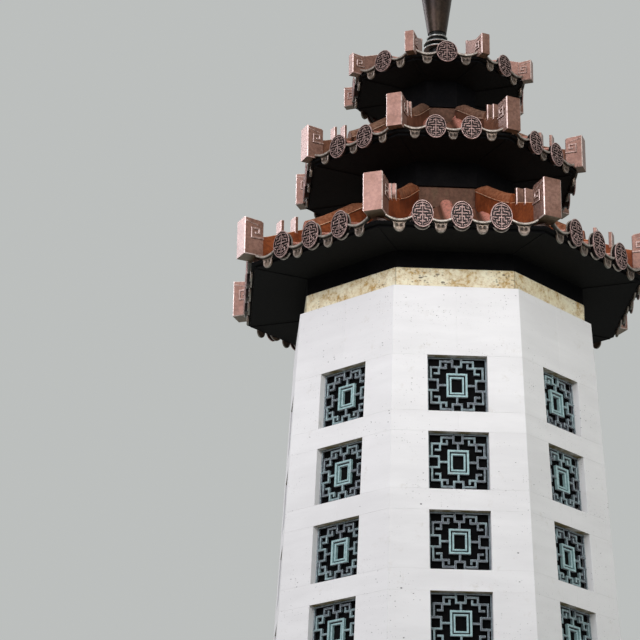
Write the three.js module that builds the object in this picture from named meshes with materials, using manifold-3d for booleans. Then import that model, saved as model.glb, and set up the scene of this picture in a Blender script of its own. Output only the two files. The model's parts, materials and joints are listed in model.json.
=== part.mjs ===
// Octagonal memorial pagoda: a tapering marble shaft with a column of fret grilles on each face,
// a stained stone band, three bronze roof tiers and a bronze finial. Millimetres, +Z up.
// The origin is the centre of the underside of the lowest step, and the front face looks along -Y.
import * as THREE from 'three';
import { mergeVertices } from 'three/addons/utils/BufferGeometryUtils.js';
import Module from 'manifold-3d';

const wasm = await Module();
wasm.setup();

// Driving dimensions of the shaft
const FACES = 8;
const HALF_TURN = Math.PI / FACES;
const WALL_TOP = 2560;
const WALL_FOOT = 640;
const APOTHEM_AT_WALL_TOP = 319.4;
const TAPER = 0.0524;
const SLAB = 30;
const JOINT_GAP = 0.3;
const FLATNESS = 0.02;

// Openings, one column on each face
const ROWS = 10;
const ROW_PITCH = 170;
const OPENING = 125;
const FIRST_HEAD_BELOW_TOP = 158;

// Grille panels set back in the openings, carried by a strip behind the slab
const GRILLE_SET_BACK = 13;
const STRIP_THICK = 3;
const STRIP_HALF = 75;
const STRIP_END = 20;
const GRILLE_FRAME = 7;
const GRILLE_FIELD_DEPTH = 20;
const GRILLE_CENTRE_HALF = 24;

// Plinth: height of each top face and apothem of each piece
const LOWER_STEP = { top: 110, apothem: 590 };
const UPPER_STEP = { top: 220, apothem: 525 };
const PEDESTAL = {
  die: 446, foot: 470, cap: 462, footTop: 290, capBottom: 590, footSlope: 12, capSlope: 14,
};

// Stone band between the wall and the lowest roof
const BAND_HEIGHT = 46;
const BAND_APOTHEM = 306.5;

// Tile ends are the same castings on all three tiers
const DISC = { width: 47, height: 56, thick: 8, sides: 10 };
const BARREL = { halfWidth: 15, rise: 15, sunk: 3 };
const DRIP_THICK = 5;
const FASCIA_THICK = 4;

// How far a ridge reaches into its neck and its corner block
const NECK_BITE = 3;

// Clearance of a cover tile's upper end from the hip ridge and from the neck
const RIDGE_CLEARANCE = 3;
const NECK_CLEARANCE = 4;

// Closest spacing of the sections along a cover tile or under a hip ridge
const LEAST_STEP = 8;

// How far the soffit's edge lies inside the eave
const SOFFIT_INSET = 4;

// One entry for each tier, heights above the wall top.
// slope lists the deck's profile as [apothem, height] from the eave to the neck.
const TIERS = [
  {
    name: 'low',
    friezeBottom: 46, friezeApothem: 304, soffit: 86, soffitThick: 6, eave: 425,
    slope: [[425, 108], [350, 131], [270, 171], [205, 217], [158, 262]],
    neckTop: 305, discHeight: 113, discs: 3, discPitch: 82.5, drips: 4, dripPitch: 87,
    dripHalf: 15.4, dripTop: 108, dripBottom: 67,
    ridge: {
      half: 12, cap: [[176, 300], [215, 292], [316, 229]], shoulder: [[316, 206], [445, 170]],
      fins: [[338, 240], [372, 229]], finThick: 9,
    },
    block: { outer: 492, inner: 445, half: 21.5, bottom: 107, top: 196, drop: 12 },
  },
  {
    name: 'middle',
    friezeBottom: 305, friezeApothem: 164, soffit: 364, soffitThick: 6, eave: 295,
    slope: [[295, 386], [235, 405], [175, 438], [125, 475], [79, 512]],
    neckTop: 543, discHeight: 381, discs: 2, discPitch: 78, drips: 3, dripPitch: 84,
    dripHalf: 15.4, dripTop: 386, dripBottom: 348,
    ridge: {
      half: 10, cap: [[92, 540], [115, 533], [211, 480]], shoulder: [[211, 463], [303, 432]],
      fins: [[228, 484], [254, 475]], finThick: 7,
    },
    block: { outer: 343, inner: 303, half: 17.8, bottom: 374, top: 452, drop: 10 },
  },
  {
    name: 'top',
    friezeBottom: 543, friezeApothem: 84, soffit: 610, soffitThick: 5, eave: 185,
    slope: [[185, 630], [140, 647], [95, 672], [60, 698], [32, 724]],
    neckTop: 732, discHeight: 626, discs: 1, discPitch: 0, drips: 2, dripPitch: 88,
    dripHalf: 20, dripTop: 630, dripBottom: 593,
    ridge: {
      half: 7, cap: [[42, 730], [60, 722], [140, 684]], shoulder: [[140, 672], [201, 652]],
      fins: [[156, 682]], finThick: 6,
    },
    block: { outer: 228, inner: 201, half: 11, bottom: 616, top: 668, drop: 7 },
  },
];

// Finial: three rings at its foot and a flaring post closed by a pointed bud
const FINIAL_FOOT = 732;
const FINIAL_RINGS_TOP = 776;
const FINIAL_SIDES = 20;
const RING_RADIUS = 31;
const RING_COUNT = 3;
const RING_GROOVE = 6;
const POST_PROFILE = [[22, 776], [22.5, 790], [25, 820], [29.5, 850], [36, 878], [40, 900]];
const BUD_PROFILE = [[40, 900], [44, 916], [43, 940], [35, 970], [22, 996], [9, 1018], [0, 1040]];

const materials = {
  marble: new THREE.MeshStandardMaterial({ color: 0xdcdad6, roughness: 0.6, metalness: 0 }),
  bandStone: new THREE.MeshStandardMaterial({ color: 0xd9cfa6, roughness: 0.75, metalness: 0 }),
  core: new THREE.MeshStandardMaterial({ color: 0x1c2124, roughness: 0.9, metalness: 0 }),
  verdigris: new THREE.MeshStandardMaterial({ color: 0x7fa39b, roughness: 0.65, metalness: 0.5 }),
  bronze: new THREE.MeshStandardMaterial({ color: 0x7d5a4a, roughness: 0.5, metalness: 0.7 }),
  paleBronze: new THREE.MeshStandardMaterial({ color: 0x8d7a72, roughness: 0.55, metalness: 0.6 }),
  darkBronze: new THREE.MeshStandardMaterial({ color: 0x1a1817, roughness: 0.7, metalness: 0.5 }),
};

const pagoda = new THREE.Group();

function addPart(name, geometry, material) {
  const mesh = new THREE.Mesh(geometry, material);
  mesh.name = name;
  pagoda.add(mesh);
}

// Angle of a face's outward normal, counted from the front face
function faceAngle(index) {
  return -Math.PI / 2 + index * 2 * HALF_TURN;
}

// Moves a geometry's vertices, given as (offset along the face, height, distance out from the axis)
function placeOutward(geometry, angle) {
  const position = geometry.getAttribute('position');
  const cos = Math.cos(angle);
  const sin = Math.sin(angle);
  for (let i = 0; i < position.count; i += 1) {
    const along = position.getX(i);
    const height = position.getY(i);
    const out = position.getZ(i);
    position.setXYZ(i, out * cos - along * sin, out * sin + along * cos, height);
  }
  return geometry;
}

function toSolid(geometry) {
  const bare = geometry.clone();
  bare.deleteAttribute('normal');
  bare.deleteAttribute('uv');
  const merged = mergeVertices(bare);
  const vertProperties = new Float32Array(merged.getAttribute('position').array);
  const triVerts = new Uint32Array(merged.index.array);
  return new wasm.Manifold(new wasm.Mesh({ numProp: 3, vertProperties, triVerts }));
}

function toGeometry(solid) {
  const mesh = solid.getMesh();
  const geometry = new THREE.BufferGeometry();
  geometry.setAttribute('position', new THREE.BufferAttribute(new Float32Array(mesh.vertProperties), 3));
  geometry.setIndex(new THREE.BufferAttribute(new Uint32Array(mesh.triVerts), 1));
  geometry.computeVertexNormals();
  return geometry;
}

// Joins pieces that reach into each other into one solid, and drops the edges left inside flat faces
function joined(geometries) {
  const whole = geometries.map(toSolid).reduce((sum, piece) => sum.add(piece));
  return toGeometry(whole.asOriginal().simplify(FLATNESS));
}

function cut(geometry, tool) {
  return toGeometry(toSolid(geometry).subtract(toSolid(tool)));
}

// Closed solid through a list of rings with the same number of points, with flat ends
function loft(rings) {
  const count = rings[0].length;
  const triangles = [];
  const addTriangle = (a, b, c) => triangles.push(a, b, c);
  for (let level = 0; level < rings.length - 1; level += 1) {
    const lower = rings[level];
    const upper = rings[level + 1];
    for (let i = 0; i < count; i += 1) {
      const next = (i + 1) % count;
      addTriangle(lower[i], lower[next], upper[next]);
      addTriangle(lower[i], upper[next], upper[i]);
    }
  }
  const first = rings[0];
  const last = rings[rings.length - 1];
  for (let i = 1; i < count - 1; i += 1) {
    addTriangle(first[0], first[i + 1], first[i]);
    addTriangle(last[0], last[i], last[i + 1]);
  }
  const geometry = new THREE.BufferGeometry().setFromPoints(triangles);
  geometry.computeVertexNormals();
  return geometry;
}

// Octagon of a given apothem at a height, anticlockwise from above
function octagon(apothem, height) {
  const radius = apothem / Math.cos(HALF_TURN);
  return Array.from({ length: FACES }, (_, i) => {
    const angle = faceAngle(i) + HALF_TURN;
    return new THREE.Vector3(radius * Math.cos(angle), radius * Math.sin(angle), height);
  });
}

// Octagonal solid from a profile of [apothem, height] pairs, bottom to top
function octagonalSolid(profile) {
  return loft(profile.map(([apothem, height]) => octagon(apothem, height)));
}

function shapeOf(points) {
  return new THREE.Shape(points.map(([x, y]) => new THREE.Vector2(x, y)));
}

// Outline in the plane of a face or across a ridge, given a thickness from near to far
function plate(points, near, far) {
  const geometry = new THREE.ExtrudeGeometry(shapeOf(points), { depth: far - near, bevelEnabled: false });
  return geometry.translate(0, 0, near);
}

// Outline of [distance out, height] points with a thickness along the face, centred on it
function fin(points, half) {
  const geometry = new THREE.ExtrudeGeometry(shapeOf(points), { depth: 2 * half, bevelEnabled: false });
  const position = geometry.getAttribute('position');
  for (let i = 0; i < position.count; i += 1) {
    const out = position.getX(i);
    const across = half - position.getZ(i);
    position.setXYZ(i, across, position.getY(i), out);
  }
  return geometry;
}

function wallApothem(height) {
  return APOTHEM_AT_WALL_TOP + TAPER * (WALL_TOP - height);
}

// Middle height of the opening in each row, from the top down
function openingCentre(row) {
  return WALL_TOP - FIRST_HEAD_BELOW_TOP - OPENING / 2 - row * ROW_PITCH;
}

// Marble slab of one face: its openings go right through, and its ends are mitred at the corners
function wallFace(index) {
  const edge = wallApothem(WALL_FOOT);
  const shape = shapeOf([[-edge, WALL_FOOT], [edge, WALL_FOOT], [edge, WALL_TOP], [-edge, WALL_TOP]]);
  const half = OPENING / 2;
  for (let row = 0; row < ROWS; row += 1) {
    const centre = openingCentre(row);
    const corners = [[-half, -half], [-half, half], [half, half], [half, -half]];
    shape.holes.push(new THREE.Path(corners.map(([x, y]) => new THREE.Vector2(x, centre + y))));
  }
  const geometry = new THREE.ExtrudeGeometry(shape, { depth: SLAB, bevelEnabled: false });
  const position = geometry.getAttribute('position');
  for (let i = 0; i < position.count; i += 1) {
    const height = position.getY(i);
    const out = wallApothem(height) - SLAB + position.getZ(i);
    const mitre = out * Math.tan(HALF_TURN) - JOINT_GAP / 2;
    const across = position.getX(i);
    const isEnd = Math.abs(across) > OPENING;
    position.setXYZ(i, isEnd ? Math.sign(across) * mitre : across, height, out);
  }
  return placeOutward(geometry, faceAngle(index));
}

// Square panel with a raised frame and a raised centre, set back in its opening
function grillePanel(row) {
  const centre = openingCentre(row);
  const outerHalf = OPENING / 2 - JOINT_GAP;
  const steps = [
    [outerHalf, SLAB + JOINT_GAP + STRIP_THICK / 2],
    [outerHalf, GRILLE_SET_BACK],
    [outerHalf - GRILLE_FRAME, GRILLE_SET_BACK],
    [outerHalf - GRILLE_FRAME, GRILLE_FIELD_DEPTH],
    [GRILLE_CENTRE_HALF, GRILLE_FIELD_DEPTH],
    [GRILLE_CENTRE_HALF, GRILLE_SET_BACK],
  ];
  const corners = [[-1, -1], [1, -1], [1, 1], [-1, 1]];
  return loft(steps.map(([half, depth]) => corners.map(([x, y]) => {
    const height = centre + y * half;
    return new THREE.Vector3(x * half, height, wallApothem(height) - depth);
  })));
}

// Upright strip against the back of a slab
function backingStrip() {
  const ends = [openingCentre(ROWS - 1) - OPENING / 2 - STRIP_END, openingCentre(0) + OPENING / 2 + STRIP_END];
  return loft(ends.map((height) => {
    const front = wallApothem(height) - SLAB - JOINT_GAP;
    const corners = [[-1, front], [1, front], [1, front - STRIP_THICK], [-1, front - STRIP_THICK]];
    return corners.map(([side, out]) => new THREE.Vector3(side * STRIP_HALF, height, out));
  }));
}

function grilleColumn(index) {
  const panels = Array.from({ length: ROWS }, (_, row) => grillePanel(row));
  return placeOutward(joined([backingStrip(), ...panels]), faceAngle(index));
}

// Height of the deck above the wall top at a distance out from the axis along a face's middle
function slopeHeight(slope, out) {
  if (out >= slope[0][0]) {
    return slope[0][1];
  }
  for (let i = 0; i < slope.length - 1; i += 1) {
    const [outer, low] = slope[i];
    const [inner, high] = slope[i + 1];
    if (out <= outer && out >= inner) {
      return low + (high - low) * (outer - out) / (outer - inner);
    }
  }
  return slope[slope.length - 1][1];
}

function evenOffsets(count, pitch) {
  return Array.from({ length: count }, (_, i) => (i - (count - 1) / 2) * pitch);
}

// Cover tile: a half-round barrel from the eave up the slope to the hip ridge or the neck
function barrelTile(tier, offset) {
  const besideRidge = (tier.ridge.half + RIDGE_CLEARANCE) / Math.cos(HALF_TURN);
  const ridgeClear = Math.abs(offset) + BARREL.halfWidth + besideRidge;
  const [neck] = tier.slope.at(-1);
  const end = Math.max(ridgeClear / Math.tan(HALF_TURN), neck + NECK_CLEARANCE);
  const inside = tier.slope.slice(1, -1).map(([out]) => out).filter((out) => out > end + LEAST_STEP);
  const section = [[-1, 0], [1, 0], [0.78, 0.66], [0, 1], [-0.78, 0.66]];
  const stations = [tier.eave, ...inside, end];
  const rings = stations.map((out) => section.map(([x, y]) => new THREE.Vector3(
    offset + x * BARREL.halfWidth,
    WALL_TOP + slopeHeight(tier.slope, out) - BARREL.sunk + y * (BARREL.rise + BARREL.sunk),
    out,
  )));
  return loft(rings.reverse());
}

// Oval disc that closes a cover tile at the eave
function tileDisc(tier, offset) {
  const outline = Array.from({ length: DISC.sides }, (_, i) => {
    const turn = (i + 0.5) * 2 * Math.PI / DISC.sides;
    const height = WALL_TOP + tier.discHeight + Math.sin(turn) * DISC.height / 2;
    return [offset + Math.cos(turn) * DISC.width / 2, height];
  });
  const back = tier.eave + JOINT_GAP;
  return plate(outline, back, back + FASCIA_THICK + DRIP_THICK + DISC.thick);
}

// Drip tile: a crescent lip with a lobed pendant, between the discs
function dripTile(tier, offset) {
  const { dripHalf: half, dripTop: top, dripBottom: bottom } = tier;
  const sag = top - 9;
  const lip = top - 17;
  const outline = [
    [-half, top], [-0.75 * half, lip], [-0.45 * half, lip - 4], [-0.3 * half, bottom + 7], [0, bottom],
    [0.3 * half, bottom + 7], [0.45 * half, lip - 4], [0.75 * half, lip], [half, top], [0, sag],
  ].map(([x, y]) => [offset + x, WALL_TOP + y]);
  const back = tier.eave + FASCIA_THICK / 2;
  return plate(outline, back, back + FASCIA_THICK / 2 + DRIP_THICK);
}

// Fascia round the eave
function fascia(tier) {
  const bottom = WALL_TOP + tier.soffit + tier.soffitThick;
  const top = WALL_TOP + tier.slope[0][1];
  const inner = tier.eave + JOINT_GAP;
  const outer = inner + FASCIA_THICK;
  const past = FASCIA_THICK;
  const hole = octagonalSolid([[inner, bottom - past], [inner, top + past]]);
  return cut(octagonalSolid([[outer, bottom], [outer, top]]), hole);
}

// Fascia with the discs that close the cover tiles and the drips between them
function eaveTiles(tier) {
  const pieces = [fascia(tier)];
  for (let face = 0; face < FACES; face += 1) {
    for (const offset of evenOffsets(tier.drips, tier.dripPitch)) {
      pieces.push(placeOutward(dripTile(tier, offset), faceAngle(face)));
    }
    for (const offset of evenOffsets(tier.discs, tier.discPitch)) {
      pieces.push(placeOutward(tileDisc(tier, offset), faceAngle(face)));
    }
  }
  return joined(pieces);
}

// Deck with a flat underside and a hollow-curved slope, and its half-round cover tiles
function roofDeck(tier) {
  const profile = [[tier.eave, tier.soffit + tier.soffitThick], ...tier.slope];
  const pieces = [octagonalSolid(profile.map(([out, height]) => [out, WALL_TOP + height]))];
  for (let face = 0; face < FACES; face += 1) {
    for (const offset of evenOffsets(tier.discs, tier.discPitch)) {
      pieces.push(placeOutward(barrelTile(tier, offset), faceAngle(face)));
    }
  }
  return joined(pieces);
}

// Hip ridge: a tall thin wall on the hip with a hollow-curved top, a cap and upright fins
function hipRidge(tier) {
  const { cap, shoulder, fins, finThick, half } = tier.ridge;
  const overHip = (out) => slopeHeight(tier.slope, out * Math.cos(HALF_TURN)) + JOINT_GAP;
  const hipStations = tier.slope.slice(1, -1).map(([out]) => out / Math.cos(HALF_TURN));
  const start = (tier.slope[tier.slope.length - 1][0] - NECK_BITE) / Math.cos(HALF_TURN);
  const end = tier.block.inner + NECK_BITE;
  const neckFoot = tier.slope[tier.slope.length - 1][1];
  const neckCorner = tier.slope[tier.slope.length - 1][0] / Math.cos(HALF_TURN);
  const under = [end, ...hipStations.filter((out) => out > start + LEAST_STEP && out < end - NECK_BITE), neckCorner];
  const shoulderTop = (out) => {
    const [[fromOut, fromTop], [toOut, toTop]] = shoulder;
    return fromTop + (toTop - fromTop) * (out - fromOut) / (toOut - fromOut);
  };
  const finPoints = fins.flatMap(([out, top]) => [
    [out, shoulderTop(out)],
    [out, top],
    [out + finThick, top - 2],
    [out + finThick, shoulderTop(out + finThick)],
  ]);
  const over = [...cap, ...shoulder.slice(0, 1), ...finPoints, [end, shoulderTop(end)]];
  const inNeck = [[start, neckFoot + JOINT_GAP], [start, cap[0][1]]];
  const outline = [...under.map((out) => [out, overHip(out)]), ...inNeck, ...over.slice(1)];
  return fin(outline.map(([out, height]) => [out, WALL_TOP + height]), half);
}

// Corner block at the outer end of a hip ridge. It stands on the deck's corner and hangs a little
// past it, with a flat underside and a top that falls inward.
function cornerBlock(tier) {
  const { outer, inner, half, bottom, top, drop } = tier.block;
  const eaveTop = tier.slope[0][1] + JOINT_GAP;
  const pastCorner = (tier.eave + JOINT_GAP + FASCIA_THICK) / Math.cos(HALF_TURN) + 2 * JOINT_GAP;
  const outline = [
    [inner, slopeHeight(tier.slope, inner * Math.cos(HALF_TURN)) + JOINT_GAP],
    [pastCorner, eaveTop],
    [pastCorner, bottom],
    [outer, bottom],
    [outer, top],
    [inner + 0.25 * (outer - inner), top - drop],
    [inner, top - 2 * drop],
  ];
  return fin(outline.map(([out, height]) => [out, WALL_TOP + height]), half);
}

// Neck that stands on the deck, with the hip ridges that run out from its corners
function neckAndRidges(tier) {
  const [out, foot] = tier.slope[tier.slope.length - 1];
  const pieces = [octagonalSolid([[out, WALL_TOP + foot], [out, WALL_TOP + tier.neckTop]])];
  for (let corner = 0; corner < FACES; corner += 1) {
    const angle = faceAngle(corner) + HALF_TURN;
    pieces.push(placeOutward(hipRidge(tier), angle));
    pieces.push(placeOutward(cornerBlock(tier), angle));
  }
  return joined(pieces);
}

// Turned piece on the axis from a profile of [radius, height above the wall top], bottom to top
function turned(profile) {
  const points = profile.map(([radius, height]) => new THREE.Vector2(radius, WALL_TOP + height));
  return new THREE.LatheGeometry(points, FINIAL_SIDES).rotateX(Math.PI / 2);
}

function finialRings() {
  const rise = (FINIAL_RINGS_TOP - FINIAL_FOOT) / RING_COUNT;
  const profile = [[0, FINIAL_FOOT]];
  for (let ring = 0; ring < RING_COUNT; ring += 1) {
    const foot = FINIAL_FOOT + ring * rise;
    profile.push([RING_RADIUS - RING_GROOVE, foot]);
    profile.push([RING_RADIUS, foot + 0.3 * rise]);
    profile.push([RING_RADIUS, foot + 0.6 * rise]);
    profile.push([RING_RADIUS - RING_GROOVE, foot + 0.85 * rise]);
  }
  profile.push([RING_RADIUS - RING_GROOVE, FINIAL_RINGS_TOP], [0, FINIAL_RINGS_TOP]);
  return turned(profile);
}

// Plinth and shaft
addPart('lower_step', octagonalSolid([[LOWER_STEP.apothem, 0], [LOWER_STEP.apothem, LOWER_STEP.top]]),
  materials.marble);
addPart('upper_step', octagonalSolid([[UPPER_STEP.apothem, LOWER_STEP.top],
  [UPPER_STEP.apothem, UPPER_STEP.top]]), materials.marble);
addPart('pedestal', octagonalSolid([
  [PEDESTAL.foot, UPPER_STEP.top],
  [PEDESTAL.foot, PEDESTAL.footTop - PEDESTAL.footSlope],
  [PEDESTAL.die, PEDESTAL.footTop],
  [PEDESTAL.die, PEDESTAL.capBottom],
  [PEDESTAL.cap, PEDESTAL.capBottom + PEDESTAL.capSlope],
  [PEDESTAL.cap, WALL_FOOT],
]), materials.marble);
const coreInset = SLAB + STRIP_THICK + 2 * JOINT_GAP;
addPart('masonry_core', octagonalSolid([
  [wallApothem(WALL_FOOT) - coreInset, WALL_FOOT],
  [wallApothem(WALL_TOP) - coreInset, WALL_TOP],
]), materials.core);
for (let face = 0; face < FACES; face += 1) {
  addPart(`wall_face_${face + 1}`, wallFace(face), materials.marble);
  addPart(`grilles_${face + 1}`, grilleColumn(face), materials.verdigris);
}
addPart('stone_band', octagonalSolid([[BAND_APOTHEM, WALL_TOP], [BAND_APOTHEM, WALL_TOP + BAND_HEIGHT]]),
  materials.bandStone);

// Roof tiers
for (const tier of TIERS) {
  const soffitTop = tier.soffit + tier.soffitThick;
  addPart(`frieze_${tier.name}`, octagonalSolid([
    [tier.friezeApothem, WALL_TOP + tier.friezeBottom],
    [tier.friezeApothem, WALL_TOP + tier.soffit],
  ]), materials.darkBronze);
  addPart(`soffit_${tier.name}`, octagonalSolid([
    [tier.eave - SOFFIT_INSET, WALL_TOP + tier.soffit],
    [tier.eave - SOFFIT_INSET, WALL_TOP + soffitTop],
  ]), materials.darkBronze);
  addPart(`roof_${tier.name}`, roofDeck(tier), materials.bronze);
  addPart(`eave_tiles_${tier.name}`, eaveTiles(tier), materials.paleBronze);
  addPart(`ridges_${tier.name}`, neckAndRidges(tier), materials.bronze);
}

addPart('finial_rings', finialRings(), materials.darkBronze);
addPart('finial_post', turned([[0, POST_PROFILE[0][1]], ...POST_PROFILE, [0, POST_PROFILE.at(-1)[1]]]),
  materials.bronze);
addPart('finial_bud', turned([[0, BUD_PROFILE[0][1]], ...BUD_PROFILE]), materials.bronze);

export default pagoda;
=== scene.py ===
"""Octagonal memorial pagoda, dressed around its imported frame.

A tapering marble shaft carries a column of fret grilles on each of its eight faces. Above a stained
stone band stand three bronze roof tiers with round tile ends, drip tiles, hip ridges and corner
blocks, and a flaring finial. Sizes are in millimetres and become metres where a mesh is written.
A point on a face is given as (along the face, height, distance out from the axis).
"""
from __future__ import annotations

import json
import logging
import math
from collections.abc import Callable, Sequence
from dataclasses import dataclass, field, replace
from enum import Enum

import bpy
import numpy as np
from mathutils import Matrix, Vector
from mathutils.geometry import tessellate_polygon

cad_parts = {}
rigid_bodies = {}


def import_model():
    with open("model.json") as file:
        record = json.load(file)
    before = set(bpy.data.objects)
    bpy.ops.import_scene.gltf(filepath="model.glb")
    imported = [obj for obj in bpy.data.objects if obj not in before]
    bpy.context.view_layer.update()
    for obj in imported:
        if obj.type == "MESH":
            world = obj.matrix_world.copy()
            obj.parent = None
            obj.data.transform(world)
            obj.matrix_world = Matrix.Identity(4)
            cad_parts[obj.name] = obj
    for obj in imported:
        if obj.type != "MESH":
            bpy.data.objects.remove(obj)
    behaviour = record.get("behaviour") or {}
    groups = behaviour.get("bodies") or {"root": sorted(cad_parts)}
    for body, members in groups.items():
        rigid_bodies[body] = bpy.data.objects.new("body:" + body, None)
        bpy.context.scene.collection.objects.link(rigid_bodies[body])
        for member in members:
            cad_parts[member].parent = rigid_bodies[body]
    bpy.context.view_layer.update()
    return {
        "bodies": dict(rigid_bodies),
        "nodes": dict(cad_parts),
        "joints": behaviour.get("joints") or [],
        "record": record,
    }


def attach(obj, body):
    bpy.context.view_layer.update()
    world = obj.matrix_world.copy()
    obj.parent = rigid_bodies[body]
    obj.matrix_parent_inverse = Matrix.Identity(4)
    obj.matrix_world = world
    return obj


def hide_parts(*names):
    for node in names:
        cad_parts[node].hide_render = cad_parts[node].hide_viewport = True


log = logging.getLogger("pagoda")

Array = np.ndarray
Point = tuple[float, float]
Line = Sequence[Point]
Place = tuple[float, float, float]
Colour = tuple[float, float, float]
Material = bpy.types.Material
Socket = bpy.types.NodeSocket
Tree = bpy.types.NodeTree

METRES = 0.001
FACES = 8
HALF_TURN = math.pi / FACES
TAN_HALF = math.tan(HALF_TURN)
COS_HALF = math.cos(HALF_TURN)
CORNER = 0.5
BODY = "root"
SEED = 20
SMALL = 1e-9
LEAST_SHARE = 0.2
PIT_SIZES = ((26.0, 1.6, 0.78, 0.075), (85.0, 2.0, 0.62, 0.15), (190.0, 1.8, 0.55, 0.2))
PLAIN_TONE = 0.5
SLAB_TONES = (0.35, 0.65)
STONE_TONES = (0.3, 0.7)
CAST_TONES = (0.2, 0.8)


class Slot(Enum):
    """Material slots of the record."""

    MARBLE = "marble"
    BAND = "band_stone"
    CORE = "core"
    VERDIGRIS = "verdigris"
    BRONZE = "bronze"
    PALE_BRONZE = "pale_bronze"
    DARK_BRONZE = "dark_bronze"


def joined(*parts: Array) -> Array:
    """One array with the parts, stretched to one shape, side by side along a new last axis."""
    return np.stack(np.broadcast_arrays(*parts), axis=-1)


def face_turn(index: float) -> float:
    """Angle of a face's outward normal from +X; a half number gives the corner after it."""
    return -math.pi / 2 + index * 2 * HALF_TURN


def outward(points: Array, turn: float) -> Array:
    """Places (along, height, out) points on the face or corner that looks along an angle, in metres.

    The place is out times the outward direction plus along times the direction a quarter turn
    anticlockwise from it.
    """
    along, height, out = points[:, 0], points[:, 1], points[:, 2]
    x = out * math.cos(turn) - along * math.sin(turn)
    y = out * math.sin(turn) + along * math.cos(turn)
    return joined(x, y, height) * METRES


@dataclass
class Patch:
    """Points with quads and triangles, and each face's mark of wear and painted light: 1 rubbed, partly a
    painted highlight, 0 plain, -1 in a hollow, a painted shade.
    """

    points: Array
    quads: Array
    triangles: Array = field(default_factory=lambda: np.zeros((0, 3), int))
    quad_wear: Array | float = 0.0
    triangle_wear: Array | float = 0.0

    def __post_init__(self) -> None:
        """Gives every face its own number."""
        self.quad_wear = np.broadcast_to(self.quad_wear, len(self.quads))
        self.triangle_wear = np.broadcast_to(self.triangle_wear, len(self.triangles))

    def moved(self, change: Callable[[Array], Array]) -> Patch:
        """The same faces on changed points."""
        return replace(self, points=change(self.points))

    def flipped(self) -> Patch:
        """The same faces looking the other way."""
        return replace(self, quads=self.quads[:, ::-1], triangles=self.triangles[:, ::-1])

    def shifted(self, along: float = 0.0, height: float = 0.0, out: float = 0.0) -> Patch:
        """The patch moved by millimetres along each of its three directions."""
        return self.moved(lambda points: points + np.array([along, height, out]))

    def across(self) -> Patch:
        """Takes (out, height, thickness) points to (along, height, out), for a plate on a ridge."""
        return self.moved(lambda p: joined(-p[:, 2], p[:, 1], p[:, 0]))


def gathered(patches: Sequence[Patch]) -> Patch:
    """One patch with the points and faces of many."""
    starts = np.cumsum([0] + [len(patch.points) for patch in patches])
    parts = [
        (patch.points, patch.quads + start, patch.triangles + start, patch.quad_wear, patch.triangle_wear)
        for patch, start in zip(patches, starts)
    ]
    return Patch(*(np.concatenate(part) for part in zip(*parts)))


def grid(points: Array, wrap_rows: bool = False, wrap_columns: bool = False) -> Patch:
    """Quads over a (rows, columns, 3) grid of points, each over one cell.

    A wrap joins the last row or column to the first. The normals point to the side from which
    columns run anticlockwise to rows.
    """
    rows, columns = points.shape[:2]
    index = np.arange(rows * columns).reshape(rows, columns)
    if wrap_rows:
        index = np.concatenate([index, index[:1]])
    if wrap_columns:
        index = np.concatenate([index, index[:, :1]], axis=1)
    corners = [index[:-1, :-1], index[:-1, 1:], index[1:, 1:], index[1:, :-1]]
    return Patch(points.reshape(-1, 3), np.stack([corner.ravel() for corner in corners], axis=1))


def cross(first: Array, second: Array) -> Array:
    """Cross products of flat vectors."""
    return first[:, 0] * second[:, 1] - first[:, 1] * second[:, 0]


def signed_area(loop: Array) -> float:
    """Area inside an outline, above zero where it runs anticlockwise."""
    return float(np.sum(cross(loop, np.roll(loop, -1, axis=0))) / 2)


def encloses(loop: Array, point: Array) -> bool:
    """Whether a point lies inside an outline, by the crossings of a level ray from close beside it."""
    ahead = np.roll(loop, -1, axis=0)
    x, y = point + 1e-4
    spans = (loop[:, 1] > y) != (ahead[:, 1] > y)
    rise = ahead[:, 1] - loop[:, 1]
    share = (y - loop[:, 1]) / np.where(np.abs(rise) < SMALL, 1.0, rise)
    return bool(np.sum(spans & (loop[:, 0] + share * (ahead[:, 0] - loop[:, 0]) > x)) % 2)


def inset(loop: Array, distance: float) -> Array:
    """Moves each corner of an outline into the material, which lies on the outline's left.

    A corner p goes to p + d (n1 + n2) / (1 + n1.n2), where n1 and n2 are the left-hand normals of
    the edges that meet there; the divisor has a least value for sharp corners.
    """
    edge = np.roll(loop, -1, axis=0) - loop
    edge = edge / np.linalg.norm(edge, axis=1, keepdims=True)
    after = joined(-edge[:, 1], edge[:, 0])
    before = np.roll(after, 1, axis=0)
    share = 1 + np.sum(after * before, axis=1, keepdims=True)
    return loop + distance * (after + before) / np.maximum(share, LEAST_SHARE)


def filled(loops: Sequence[Array]) -> Array:
    """Triangles over an outline with holes, anticlockwise, as indices into the joined loops."""
    flat = np.concatenate(loops)
    lines = [[Vector((x, y, 0)) for x, y in loop] for loop in loops]
    triangles = np.array(tessellate_polygon(lines), int).reshape(-1, 3)
    a, b, c = (flat[triangles[:, i]] for i in range(3))
    area = cross(b - a, c - a)
    triangles[area < 0] = triangles[area < 0][:, ::-1]
    return triangles[np.abs(area) > SMALL]


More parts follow.
